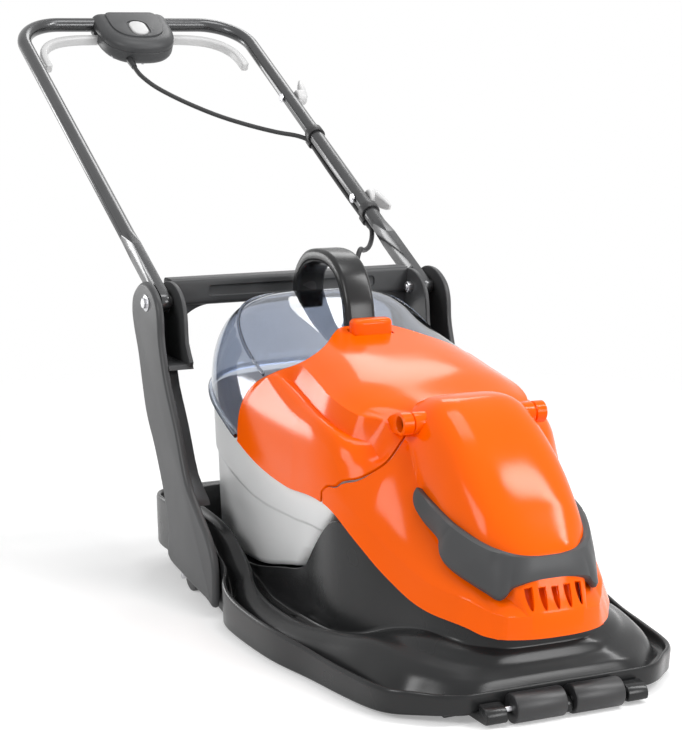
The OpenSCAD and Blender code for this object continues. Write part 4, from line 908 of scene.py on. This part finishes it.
def cover_grid(t, relief):
    """The cover's points in columns that follow its cove and its ridge."""
    half = np.concatenate([
        np.linspace(0, CROWN_END, 18), np.linspace(CROWN_END, COVE_END, 7)[1:],
        np.linspace(COVE_END, RIDGE_END, 12)[1:], 1 - 0.15 * (1 - np.linspace(0, 1, 26)[1:]) ** 1.6])

    def place(s, f):
        return mix(curve(SEAM, s) + SEAM_GAP, curve(JOIN, s), f)

    grid = []
    for f in np.linspace(0, 1, COVER_ROWS):
        s = half
        for _ in range(5):
            y = place(s, f)
            valley, ridge = curve(VALLEY, y), curve(RIDGE, y)
            foot = mix(valley, ridge, 0.3)
            s = np.select([half <= CROWN_END, half <= COVE_END, half <= RIDGE_END], [
                valley * half / CROWN_END, mix(valley, foot, (half - CROWN_END) / 0.12),
                mix(foot, ridge, (half - COVE_END) / 0.28)], mix(ridge, 1, (half - RIDGE_END) / 0.15))
        y = place(s, f)
        right = lid_points(y, s, t, relief)
        right = np.vstack([right, [right[-1] * [1, 1, 0] + [0.6, 0, curve(EDGE, y[-1])]]])
        grid.append(both_halves(right))
    return np.array(grid)


def window_end(s):
    """Where the window's rear edge lies."""
    return LID_TURN + (LID_REAR - LID_TURN) * dome(s, LID_FULL, LID_BACK)


def window_grid(t):
    half = np.concatenate([np.linspace(0, 0.56, 16), 1 - 0.42 * (1 - np.linspace(0, 1, 62)) ** 1.6])
    s = np.concatenate([-half[:0:-1], half])
    start, end = curve(JOIN, np.abs(s)) + SEAT_GAP, window_end(s)
    shares = 1 - (1 - np.linspace(0, 1, WINDOW_ROWS)) ** 1.5
    return np.array([lid_points(mix(start, end, f), s, t) for f in shares])


def rim_line():
    """The bead along the window's lower edge."""
    s = np.sin(np.linspace(-math.pi / 2, math.pi / 2, 121))
    side = np.linspace(float(curve(JOIN, 1)) + 3, LID_TURN, 8)[:-1]
    y = np.concatenate([side, window_end(s), side[::-1]])
    s = np.concatenate([np.full(len(side), -1), s, np.full(len(side), 1)])
    return np.stack([s * (curve(FLANK, y) + 1), y + 1.5 * (y - LID_TURN) / 140, body_z(y, s) + 1.5], 1)


INNER_LINE = [(0.885, 164), (0.872, 205), (0.85, 245), (0.79, 282), (0.66, 310), (0.46, 325), (0.22, 331),
              (0, 333)]


def inner_line():
    """The bead on the window's dome."""
    right = smooth(INNER_LINE, 8)
    s, y = np.vstack([right * [-1, 1], INNER_LINE[-1:], right[::-1]]).T
    return np.stack([s * curve(FLANK, y), y, body_z(y, s) + 0.4], 1)


BOW_LINE = [(178, 333), (181, 352), (187, 376), (204, 404), (230, 419), (261, 423), (300, 418), (325, 402),
            (337, 382), (340, 350), (340, 344)]
BOW_HALF_W, BOW_HALF_T = 20, 9
LATCH_Y, LATCH_W, LATCH_D, LATCH_GAP = 148.0, 54.0, 24.0, 0.5
EAR_SOCKET = [(0.6, 11.5), (1.6, 12.7), (13.5, 12.7), (14.6, 11.6), (14.6, 9.6), (13.8, 8.8), (7.0, 8.4)]
EAR_ARM = [(-96, 264), (-78, 262), (-66, 266), (-64, 272), (-74, 281), (-92, 288)]
EAR_R, RIM_BEAD_R, INNER_BEAD_R, BEAD_SIDES = 11, 3.2, 2.2, 14


def power(value, exponent):
    """A signed power, which squares off a circle's sine or cosine."""
    return np.sign(value) * np.abs(value) ** exponent


class MOWER_OT_lid(bpy.types.Operator):
    """Makes the lid: orange front, clear rear, carry handle and latch"""
    bl_idname = "mower.lid"
    bl_label = "Lid"

    def execute(self, context):
        ridge = context.scene.mower_sizes.lid_ridge
        cover = build("lid_front", sheet(cover_grid(0, ridge), cover_grid(LID_WALL, ridge)))
        w, d = LATCH_W / 2 + LATCH_GAP, LATCH_D / 2 + LATCH_GAP
        cut(cover, "latch_hole", box_shape((-w, LATCH_Y - d, 280), (w, LATCH_Y + d, 360)))
        finish(cover, "orange_shell", "lid", "lid_cover", angle=30)
        ear = lathe(EAR_SOCKET, (TRUNNION_X, TRUNNION_Y, TRUNNION_Z), X_AXIS)
        turn = np.radians(np.linspace(70, 265, 14))
        arm = np.vstack([np.stack([TRUNNION_Y + EAR_R * np.cos(turn), TRUNNION_Z + EAR_R * np.sin(turn)], 1),
                         EAR_ARM])
        arm = slab(arm, TRUNNION_X + 0.6, TRUNNION_X + 7, (1.5, 1.5), across)
        make("lid_ears", both_sides(together(ear, arm)), "orange_shell", "lid")
        make("lid_clear_dome", sheet(window_grid(0), window_grid(LID_WALL)), "clear_plastic", "lid",
             "lid_window", angle=50)
        path = smooth(BOW_LINE, 5)
        x, t = soft_box(-BOW_HALF_W, BOW_HALF_W, -BOW_HALF_T, BOW_HALF_T, 6).T
        bow = [np.column_stack([x, y - t * dz, z + t * dy]) for (y, z),
               (dy, dz) in zip(path, directions(path))]
        make("carry_bow", ring_solid(bow), SLOT_OF["carry_handle"], "lid", "carry_handle", angle=50)
        a = np.linspace(0, 2 * math.pi, 72, endpoint=False)
        tab = np.stack([LATCH_W / 2 * power(np.cos(a), 0.5), LATCH_Y + LATCH_D / 2 * power(np.sin(a), 0.62)],
                       1)
        make("latch_tab", slab(tab, 331, 357, (0.5, 6), upright, 7), "orange_shell", BODY_OF["latch_button"],
             "latch_button")
        sweep = sweep_tree()
        for name, line, radius in (("lid_rim_bead", rim_line(), RIM_BEAD_R),
                                   ("lid_inner_bead", inner_line(), INNER_BEAD_R)):
            bead = swept(name, sweep, line, radius, BEAD_SIDES, "clear_plastic")
            finish(bead, "clear_plastic", "lid", angle=ROUND_ANGLE)
        return {"FINISHED"}


# Tub and deck

TUB_FRONT, TUB_REAR, TUB_MID, TUB_STEP = 18.0, LID_REAR - 9.0, 160.0, 2.0


def tub_line(half_w, mid, front, rear, corner):
    return mirrored(smooth([
        (0, mid), (60, mid - 1), (half_w - 44, front), (half_w - corner, front + 3),
        (half_w - 3, front + corner), (half_w, 70), (half_w, 140), (half_w, 220), (half_w - 3, 290),
        (half_w - 12, rear - 36), (half_w - 40, rear - 10), (half_w - 90, rear - 1)], 8), (0, rear))


class MOWER_OT_tub(bpy.types.Operator):
    """Makes the smoky grass tub"""
    bl_idname = "mower.tub"
    bl_label = "Grass tub"

    def execute(self, context):
        top = tub_line(TUB_HALF_W, -40, -58, TUB_REAR, 18)
        foot = tub_line(TUB_HALF_W - 5, TUB_FRONT, TUB_FRONT, TUB_REAR - 8, 26)
        low, high = curve(SEAT, foot[:, 1]) + HOOD_SEAT, curve(EDGE, top[:, 1]) - HOOD_SEAT

        def ring(f, inward, lift):
            p, g = mix(foot, top, f), 1 - inward / TUB_HALF_W
            return np.stack([p[:, 0] * g, mix(TUB_MID, p[:, 1], g), mix(low, high, f) + lift], 1)

        def floor(g, lift):
            y = mix(TUB_MID, foot[:, 1], g)
            return np.stack([foot[:, 0] * g, y, curve(SEAT, y) + HOOD_SEAT + lift], 1)

        step, wall = TUB_STEP, TUB_WALL
        rings = np.array([
            floor(0.1, 0), floor(0.5, 0), floor(0.9, 0), ring(0, 5, 0), ring(0, step, 6), ring(0.3, step, 0),
            ring(0.6, step, 0), ring(0.63, 0, 0), ring(0.8, 0, 0), ring(1, 0, 0), ring(1, wall, 0),
            ring(0.8, wall, 0), ring(0.63, wall, 0), ring(0.6, step + wall, 0), ring(0.3, step + wall, 3),
            ring(0, step + wall, 8), ring(0, 9, wall), floor(0.9, wall), floor(0.5, wall), floor(0.1, wall)])
        make("grass_tub_shell", ring_solid(rounded(rings, 1.6, 3)), "smoky_plastic", "chassis", "grass_tub",
             angle=40)
        return {"FINISHED"}


def deck_outlines(steps):
    def beside(y):
        return (float(curve(FLANK, y)) - HOOD_WALL - 0.5, y)

    outer = mirrored(smooth([
        (0, -DECK_FRONT - 8), (70, -DECK_FRONT - 8), (122, -DECK_FRONT - 4), (156, -281), (181, -252),
        (194, -190), (204, -115), (DECK_HALF_W - 4, -45), (DECK_HALF_W, 20), (DECK_HALF_W, 80),
        (DECK_HALF_W - 5, 112), (TAIL_HALF_W, 138), (TAIL_HALF_W, 180), (TAIL_HALF_W, 260),
        (TAIL_HALF_W - 1, 340), (TAIL_HALF_W - 6, 395), (TAIL_HALF_W - 25, DECK_REAR - 7), (140, DECK_REAR)],
        steps), (0, DECK_REAR))
    w = TUB_HALF_W
    inner = mirrored(smooth([
        (0, -HOOD_FRONT + 18), (36, -HOOD_FRONT + 19), (54, -HOOD_FRONT + 25), beside(-258), beside(-226),
        beside(-168), beside(-108), beside(-54), (w - 2, 20), (w - 2, 80), (w - 2, 112), (w - 2, 140),
        (w - 2, 180), (w - 2, 255), (w - 5, 318), (w - 18, 350), (w - 48, 366), (45, 371)], steps), (0, 372))
    return outer, inner


def deck_rings():
    """Rings from the well's underside, out round the rim and back over the top to the well."""
    outer, inner = deck_outlines(7)

    def ring(f, z):
        p = mix(outer, inner, f)
        return np.stack([p[:, 0], p[:, 1], z(p[:, 1])], 1)

    def well(f, z):
        y = mix(35.0, inner[:, 1], f)
        return np.stack([inner[:, 0] * f, y, z(y)], 1)

    def line(table, drop=0.0):
        return lambda y: curve(table, y) - drop

    def between(low, high, f):
        return lambda y: mix(curve(low, y), curve(high, y), f)

    def keel(y):
        return np.minimum(curve(MOAT, y), curve(FLOOR, y)) - DECK_WALL

    def slope(y):
        return np.minimum(curve(MOAT, y), mix(curve(SHOULDER, y) - 2, curve(MOAT, y), 0.4)) - DECK_WALL

    wall = DECK_WALL
    # Each row is a kind of ring, its share of the way in, its height and the rounding of its corner
    profile = [
        (well, 0.1, line(FLOOR, wall), 1), (well, 0.9, line(FLOOR, wall), 2), (well, 0.96, keel, 2),
        (ring, 0.93, keel, 2), (ring, 0.76, slope, 2), (ring, 0.62, line(SHOULDER, wall + 7), 3),
        (ring, 0.55, line(SHOULDER, wall + 3), 3), (ring, 0.45, line(SHOULDER, wall + 10), 3),
        (ring, 0.24, line(GUTTER, wall), 3), (ring, 0.16, line(GUTTER, wall + 2), 2),
        (ring, 0.1, line(HEM), 1.5), (ring, 0.02, line(HEM), 2.5), (ring, 0, line(RIM, 4), 2.5),
        (ring, 0.025, line(RIM), 2), (ring, 0.075, line(RIM, 1), 3), (ring, 0.1, line(RIM, 8), 4),
        (ring, 0.15, line(GUTTER), 5), (ring, 0.2, line(GUTTER), 6),
        (ring, 0.34, between(GUTTER, SHOULDER, 0.62), 12), (ring, 0.47, line(SHOULDER, 4), 12),
        (ring, 0.57, line(SHOULDER), 12), (ring, 0.66, between(SHOULDER, MOAT, 0.25), 10),
        (ring, 0.76, between(SHOULDER, MOAT, 0.75), 8), (ring, 0.86, line(MOAT), 6),
        (ring, 0.92, line(MOAT, -2), 5), (ring, 0.955, line(SEAT), 1.0), (ring, 1.0, line(SEAT), 1.0),
        (well, 0.97, line(FLOOR), 2), (well, 0.9, line(FLOOR), 2), (well, 0.1, line(FLOOR), 1)]
    rings = np.array([kind(f, z) for kind, f, z, _ in profile])
    return rounded(rings, [r for *_, r in profile], 5)


SLOT_R, SLOT_HALF, SLOT_Y, SLOT_TURN = 6, 33, -12, math.radians(-2.5)
SPINDLE = (0, SPINDLE_Y, 0)
NOTCH_LINE = [(-113, -1), (-112, 5), (-109, 10), (-104, 13.5), (-97, 15)]
NOTCH_REAR = -DECK_FRONT + 16


class MOWER_OT_deck(bpy.types.Operator):
    """Makes the deck with its rim, moat, air slots and roller notch"""
    bl_idname = "mower.deck"
    bl_label = "Deck"

    def execute(self, context):
        obj = build("deck_skin", ring_solid(deck_rings()))
        slot = []
        for a in np.linspace(0, 2 * math.pi, 40, endpoint=False):
            x = SLOT_R * math.cos(a)
            y = SLOT_R * math.sin(a) + (SLOT_HALF if math.sin(a) >= 0 else -SLOT_HALF)
            slot.append((DECK_HALF_W - 58 + x * math.cos(SLOT_TURN) - y * math.sin(SLOT_TURN),
                         SLOT_Y + x * math.sin(SLOT_TURN) + y * math.cos(SLOT_TURN)))
        scoop = ring_solid([[(x, y, z) for x, y in slot] for z in (-60, 60)])
        shaft = lathe([(20, 36), (120, 36)], SPINDLE, Z_AXIS)
        chute = box_shape((-42.3, 25.7, 30), (42.3, 66.3, 110))
        arch = np.array(NOTCH_LINE + [(-x, z) for x, z in reversed(NOTCH_LINE)])
        notch = slab(arch, -DECK_FRONT - 28, NOTCH_REAR, (0.1, 0.1), along_y)
        cut(obj, "deck_cuts", together(scoop, flip_x(scoop), shaft, chute, notch))
        finish(obj, "charcoal_shell", "chassis", "deck", angle=42)
        low, high = MOTOR_FLOOR - 6, MOTOR_FLOOR
        pad = lathe([(low, 37), (low, 68), (high, 68), (high, 37)], SPINDLE, Z_AXIS)
        make("motor_pad", pad, "charcoal_shell", "chassis")
        skirt = slab(soft_box(-126, 126, 2.5, 30, 2), NOTCH_REAR, NOTCH_REAR + 3, (0.5, 0.5), along_y)
        make("notch_skirt", skirt, "black_plastic", "chassis")
        dress("grass_chute_duct", "grass_chute", 0.6)
        return {"FINISHED"}


# Yoke, handle and switch box

YOKE_FACE, YOKE_WALL = TAIL_HALF_W + 1.3, 9
POCKET_X = 172, 178
ARM_LINE = [(150, 12), (146, 50), (152, 73), (170, 95), (200, 117), (240, 150), (273, 209), (308, 262),
            (328, 311), (332, 345), (340, 364), (354, 376), (374, 384), (398, 384), (420, 374), (434, 360),
            (437, 340), (430, 318), (414, 285), (389, 215), (356, 170), (322, 112), (309, 72), (310, 36),
            (262, 25), (176, 15)]
WEB_LINE = [(228, 120), (268, 152), (301, 209), (332, 255), (348, 284), (405, 284), (383, 220), (350, 172),
            (316, 118)]
POCKET_LINE = [(316, 280), (328, 311), (332, 345), (340, 364), (354, 376), (374, 383), (398, 383),
               (420, 374), (434, 360), (437, 340), (430, 318), (411, 280)]
POCKET_REAR = [(399, 279), (411, 279), (414, 285), (430, 318), (436, 340), (433, 358), (428, 368),
               (423, 366), (424, 340), (417, 318), (402, 285)]
POCKET_FLOOR = [(314, 279), (411, 279), (414, 285), (317, 285)]
ARCH_FOOT = [(175, 276), (180, 260), (188, 244), (204, 238), (204, 285), (177, 285), (177, 353)]
ARCH_X, ARCH_Z, ARCH_R = 114, 292, 58
BAR_HALF_W, STRIP_HALF_W = 173, 122


class MOWER_OT_yoke(bpy.types.Operator):
    """Makes the yoke and the bolts of the handle's pivots"""
    bl_idname = "mower.yoke"
    bl_label = "Yoke"

    def execute(self, context):
        edge = context.scene.mower_sizes.moulded_edge
        face, hidden = YOKE_FACE + YOKE_WALL, YOKE_FACE + 0.5
        panel = slab(closed_line(ARM_LINE, 4), YOKE_FACE, face, (1.5, 2 * edge), across, 7)
        web = slab(closed_line(WEB_LINE, 3), 184, hidden, (2, 0.5), across)
        wall = slab(closed_line(POCKET_LINE, 3), *POCKET_X, (2, 1), across)
        floor, rear = (slab(np.array(p), POCKET_X[0], hidden, (0.5, 0.5), across)
                       for p in (POCKET_FLOOR, POCKET_REAR))
        turn = np.linspace(0, math.pi / 2, 16)
        arc = np.stack([ARCH_X + ARCH_R * np.sin(turn), ARCH_Z + ARCH_R * np.cos(turn)], 1)
        arch = np.vstack([[(ARCH_X, 353)], arc, ARCH_FOOT])
        arch = slab(arch, CROSSBAR_Y + 6, CROSSBAR_Y + 26, (2.5, 1), along_y)
        make("yoke_sides", both_sides(together(panel, web, wall, floor, rear, arch)), "mid_grey_plastic",
             "chassis", "yoke")
        top = CROSSBAR_Z + CROSSBAR_H
        bar = soft_box(CROSSBAR_Y, CROSSBAR_Y + CROSSBAR_D, CROSSBAR_Z, top, 2 * edge)
        bar = build("yoke_crossbar", slab(bar, -BAR_HALF_W, BAR_HALF_W, (0.5, 0.5), across))
        strip = soft_box(-STRIP_HALF_W, STRIP_HALF_W, CROSSBAR_Z + 11, top - 10, 5)
        cut(bar, "strip", slab(strip, CROSSBAR_Y - 6, CROSSBAR_Y + 3, (0.2, 1.5), along_y))
        finish(bar, "mid_grey_plastic", "chassis")
        at = (0, PIVOT_Y, PIVOT_Z)
        ring = lathe(soft_rod(11, face - 1, face + 1.4, 0.6), at, X_AXIS)
        head = lathe([(face, 7.4), (face + 4.6, 7.4), (face + 5.4, 6.4)], at, X_AXIS, 6)
        make("pivot_bolt_heads", both_sides(together(ring, head)), "steel", "chassis")
        dress_each(("pivot_bolt_pair", "pivot_bolts", 0.6), ("pivot_nut_pair", "pivot_nuts", 0.5),
                   ("pivot_spacer_pair", "pivot_spacers", 0.4), ("yoke_screw_set", "yoke_screws", 0.4))
        return {"FINISHED"}


BOX_CORNER, BOX_SQUARE = 10, 0.77


def box_line(half_w, back, turn, nose):
    """Outline of the switch box in the handle's flat frame."""
    a = np.linspace(0, math.pi, 60)
    arc = np.stack([half_w * power(np.cos(a), BOX_SQUARE),
                    HANDLE_LEN - turn - (nose - turn) * np.sin(a) ** BOX_SQUARE], 1)
    corner = [(half_w - BOX_CORNER * (1 - math.sin(t)), HANDLE_LEN + back - BOX_CORNER * (1 - math.cos(t)))
              for t in np.linspace(0, math.pi / 2, 7)]
    return np.vstack([corner, arc, [(-x, y) for x, y in reversed(corner)]])


def box_half(sign, height, edge, wide):
    """One half of the switch box, rounded away from the parting line."""
    base = box_line(BOX_W / 2, BOX_BACK, BOX_TURN, BOX_LEN)
    d = base - np.array([0, HANDLE_LEN - 38])
    reach = np.linalg.norm(d, axis=1, keepdims=True)
    levels = [(0.6, 0.15), (0, 0.9), (0, height - edge)] + [
        (wide * (1 - math.cos(a)), height - edge + edge * math.sin(a) * 0.93)
        for a in np.linspace(0.2, math.pi / 2, 9)] + [(wide + 8, height - 0.4), (wide + 18, height)]
    return on_handle_shape(ring_solid([
        np.column_stack([base - d * np.minimum(0.95, share / reach), np.full(len(base), sign * z)])
        for share, z in levels]))


def capsule(r, half, z0, z1, edge):
    """A rounded button, or the hole for it."""
    a = np.linspace(0, 2 * math.pi, 48, endpoint=False)
    levels = [(0, z0), (0, z1 - edge)] + [
        (edge * (1 - math.cos(t)), z1 - edge + edge * math.sin(t)) for t in np.linspace(0.3, math.pi / 2, 5)]
    return on_handle_shape(ring_solid([
        np.stack([(r - share) * np.cos(a), BUTTON_Y + half * np.sign(np.sin(a)) + (r - share) * np.sin(a),
                  np.full(len(a), z)], 1) for share, z in levels]))


BUTTON_Y, BUTTON_R, BUTTON_HALF = HANDLE_LEN - 46.0, 14, 7
INLET_X, INLET_Z, INLET_R = 45, -18, 4.5
BAIL_LINE = [(0, 742), (30, 742), (70, 742), (100, 740), (126, 733), (146, 719), (158, 700), (163, 680),
             (164, 662), (164, 650)]
BAIL_SECTION, BAIL_Z = (-6, 6, -22, -7, 3.5), -14.5


def bail_shape():
    """The bail's band along its line, with rounded tips."""
    right = smooth(BAIL_LINE, 8)
    line = np.vstack([right[::-1] * [-1, 1], right])
    along = directions(line)
    side = np.stack([-along[:, 1], along[:, 0]], 1)
    section = soft_box(*BAIL_SECTION)
    rings = [np.column_stack([p + np.outer(section[:, 0], q), section[:, 1]]) for p, q in zip(line, side)]

    def tip(ring, step):
        flat = ring[:, :2]
        return np.column_stack([flat.mean(0) + (flat - flat.mean(0)) * 0.6,
                                BAIL_Z + (ring[:, 2] - BAIL_Z) * 0.75]) + [*(step * 3), 0]

    return on_handle_shape(ring_solid([tip(rings[0], -along[0])] + rings + [tip(rings[-1], along[-1])]))


class MOWER_OT_switch_box(bpy.types.Operator):
    """Makes the switch box with its button and the bail under the bar"""
    bl_idname = "mower.switch_box"
    bl_label = "Switch box"

    def execute(self, context):
        top = build("switch_box_cover", box_half(1, BOX_TOP_H, 13, 17))
        cut(top, "button_hole", capsule(BUTTON_R + 0.5, BUTTON_HALF, 2, 30, 0.1))
        finish(top, "mid_grey_plastic", "handle", "switch_box_top")
        pad = box_line(BOX_W / 2 - 19, BOX_BACK - 6, BOX_TURN + 6, BOX_LEN - 22)
        pad = slab(pad, BOX_TOP_H - 5, BOX_TOP_H + 1.4, (0.5, 1.4), upright)
        pad = build("switch_box_plateau", on_handle_shape(pad))
        cut(pad, "button_well", capsule(BUTTON_R + 3.5, BUTTON_HALF + 1, 6, 30, 0.1))
        finish(pad, "mid_grey_plastic", "handle")
        base = build("switch_box_tray", box_half(-1, BOX_BASE_H, 15, 15))
        slots = box_shape((-108, HANDLE_LEN - 33, -23.4), (108, HANDLE_LEN - 14, 0.6))
        inlet = lathe([(HANDLE_LEN - 20, INLET_R), (HANDLE_LEN + 40, INLET_R)], (INLET_X, 0, INLET_Z),
                      Y_AXIS)
        cut(base, "tray_cuts", on_handle_shape(together(slots, inlet)))
        finish(base, "mid_grey_plastic", "handle", "switch_box_base")
        make("lock_button_cap", capsule(BUTTON_R, BUTTON_HALF, 8, BOX_TOP_H + 3, 2.5), "pale_grey_plastic",
             "lock", "lock_button")
        make("bail_band", bail_shape(), "pale_grey_plastic", BODY_OF["bail_lever"], "bail_lever")
        dress_each(("bail_pin_rod", "bail_pin", 0.4), ("bail_return_spring", "bail_spring", 0.3),
                   ("box_screw_set", "box_screws", 0.3),
                   ("switch_block", "micro_switch", context.scene.mower_sizes.small_edge * 0.5))
        return {"FINISHED"}


# Rings of a hook's tail: place along the leg, place and half width across it, rise and half height
HOOK_TAIL = [(-11, 11, 3, 0, 5), (-6, 12, 5.5, 0, 9), (2, 12.5, 6, 1, 11), (10, 13.5, 5.5, 2, 11),
             (18, 15, 5, 3, 10), (26, 17, 4, 4, 8.5), (33, 18.5, 3, 5, 6.5), (38, 19.5, 1.6, 6, 4)]
HOOKS = (("upper_cable_hook", "hook_upper", 523, 1), ("lower_cable_hook", "hook_lower", 228, -1))
HUB_R, WASHER_R = 12, 7


class MOWER_OT_handle(bpy.types.Operator):
    """Makes the handle's tube and the cable hooks"""
    bl_idname = "mower.handle"
    bl_label = "Handle"

    def execute(self, context):
        dress("handle_bow", "handle_tube", 1.0, angle=50)
        base, back = HANDLE_HALF_W + TUBE_R + SEAT_GAP, HANDLE_HALF_W - TUBE_R
        for name, node, place, way in HOOKS:
            hub = lathe(soft_rod(HUB_R, base, base + 16, 3), (0, place, 0), X_AXIS)
            rings = []
            for step, out, half, rise, tall in HOOK_TAIL:
                ring = soft_box(-half, half, -tall, tall, min(half, tall) * 0.9)
                rings.append(np.column_stack([base + out + ring[:, 0],
                                              np.full(len(ring), place + way * step), rise + ring[:, 1]]))
            make(name, on_handle_shape(together(hub, ring_solid(rings))), "pale_grey_plastic", BODY_OF[node],
                 node, angle=50)
            washer = lathe(soft_rod(WASHER_R, back - 3.4, back - 0.3, 1.2), (0, place, 0), X_AXIS)
            make(name + "_washer", on_handle_shape(washer), "steel", "handle")
        dress("hook_bolt_pair", "hook_bolts", 0.4)
        return {"FINISHED"}


# Side of a roller bracket, counted from the deck's front
BRACKET_LINE = [(14, 3), (-14, 3), (-26, 4), (-29, 9), (-28, 15), (-23, 20), (-14, 21.5), (-10, 21.5),
                (-9, 14.5), (14, 14.5)]


class MOWER_OT_rollers(bpy.types.Operator):
    """Makes the rollers, their axles and brackets"""
    bl_idname = "mower.rollers"
    bl_label = "Rollers"

    def execute(self, context):
        dress_each(("front_roller_port", "front_roller_left", 1.5),
                   ("front_roller_starboard", "front_roller_right", 1.5),
                   ("rear_roller_drum", "rear_roller", 2.0), ("front_roller_axle", "front_axle", 0.4),
                   ("rear_roller_axle", "rear_axle", 0.5))
        side = smooth([(-DECK_FRONT + y, z) for y, z in BRACKET_LINE], 4)
        outer = slab(side, 73.4, 98.6, (1.5, 1.5), across)
        middle = slab(side, -4.5, 4.5, (1, 1), across)
        make("roller_brackets", together(outer, flip_x(outer), middle), SLOT_OF["front_brackets"], "chassis",
             "front_brackets")
        return {"FINISHED"}


class MOWER_OT_drive(bpy.types.Operator):
    """Makes the motor, the impeller and the blade"""
    bl_idname = "mower.drive"
    bl_label = "Drive"

    def execute(self, context):
        dress_each(("motor_housing", "motor_can", 1.0), ("motor_end_cap", "motor_cap", 1.0),
                   ("stator_core", "stator", 0.6), ("rotor_and_shaft", "rotor", 0.6),
                   ("bearing_pair", "bearings", 0.5), ("motor_screw_set", "motor_screws", 0.4),
                   ("impeller_fan", "impeller", 0.6), ("cutting_bar", "blade", 0.8),
                   ("blade_bolt_set", "blade_bolt", 0.6))
        return {"FINISHED"}


OPERATORS = (MOWER_OT_finishes, MOWER_OT_stage, MOWER_OT_cable, MOWER_OT_deck, MOWER_OT_tub, MOWER_OT_hood,
             MOWER_OT_bumper, MOWER_OT_lid, MOWER_OT_yoke, MOWER_OT_handle, MOWER_OT_switch_box,
             MOWER_OT_rollers, MOWER_OT_drive)


class MOWER_PT_panel(bpy.types.Panel):
    """Lists the mower's sizes, finishes and pieces"""
    bl_idname = "MOWER_PT_panel"
    bl_label = "Hover mower"
    bl_space_type = "VIEW_3D"
    bl_region_type = "UI"
    bl_category = "Mower"

    def draw(self, context):
        for group in (context.scene.mower_sizes, context.scene.mower_finishes):
            for key in group.__annotations__:
                self.layout.prop(group, key)
        for operator in OPERATORS:
            self.layout.operator(operator.bl_idname)


CLASSES = (MowerFinishes, MowerSizes) + OPERATORS + (MOWER_PT_panel,)


def register():
    for cls in CLASSES:
        bpy.utils.register_class(cls)
    bpy.types.Scene.mower_finishes = PointerProperty(type=MowerFinishes)
    bpy.types.Scene.mower_sizes = PointerProperty(type=MowerSizes)


def unregister():
    del bpy.types.Scene.mower_sizes
    del bpy.types.Scene.mower_finishes
    for cls in reversed(CLASSES):
        bpy.utils.unregister_class(cls)


def main():
    register()
    for operator in OPERATORS:
        group, name = operator.bl_idname.split(".")
        getattr(getattr(bpy.ops, group), name)()


if __name__ == "__main__":
    main()
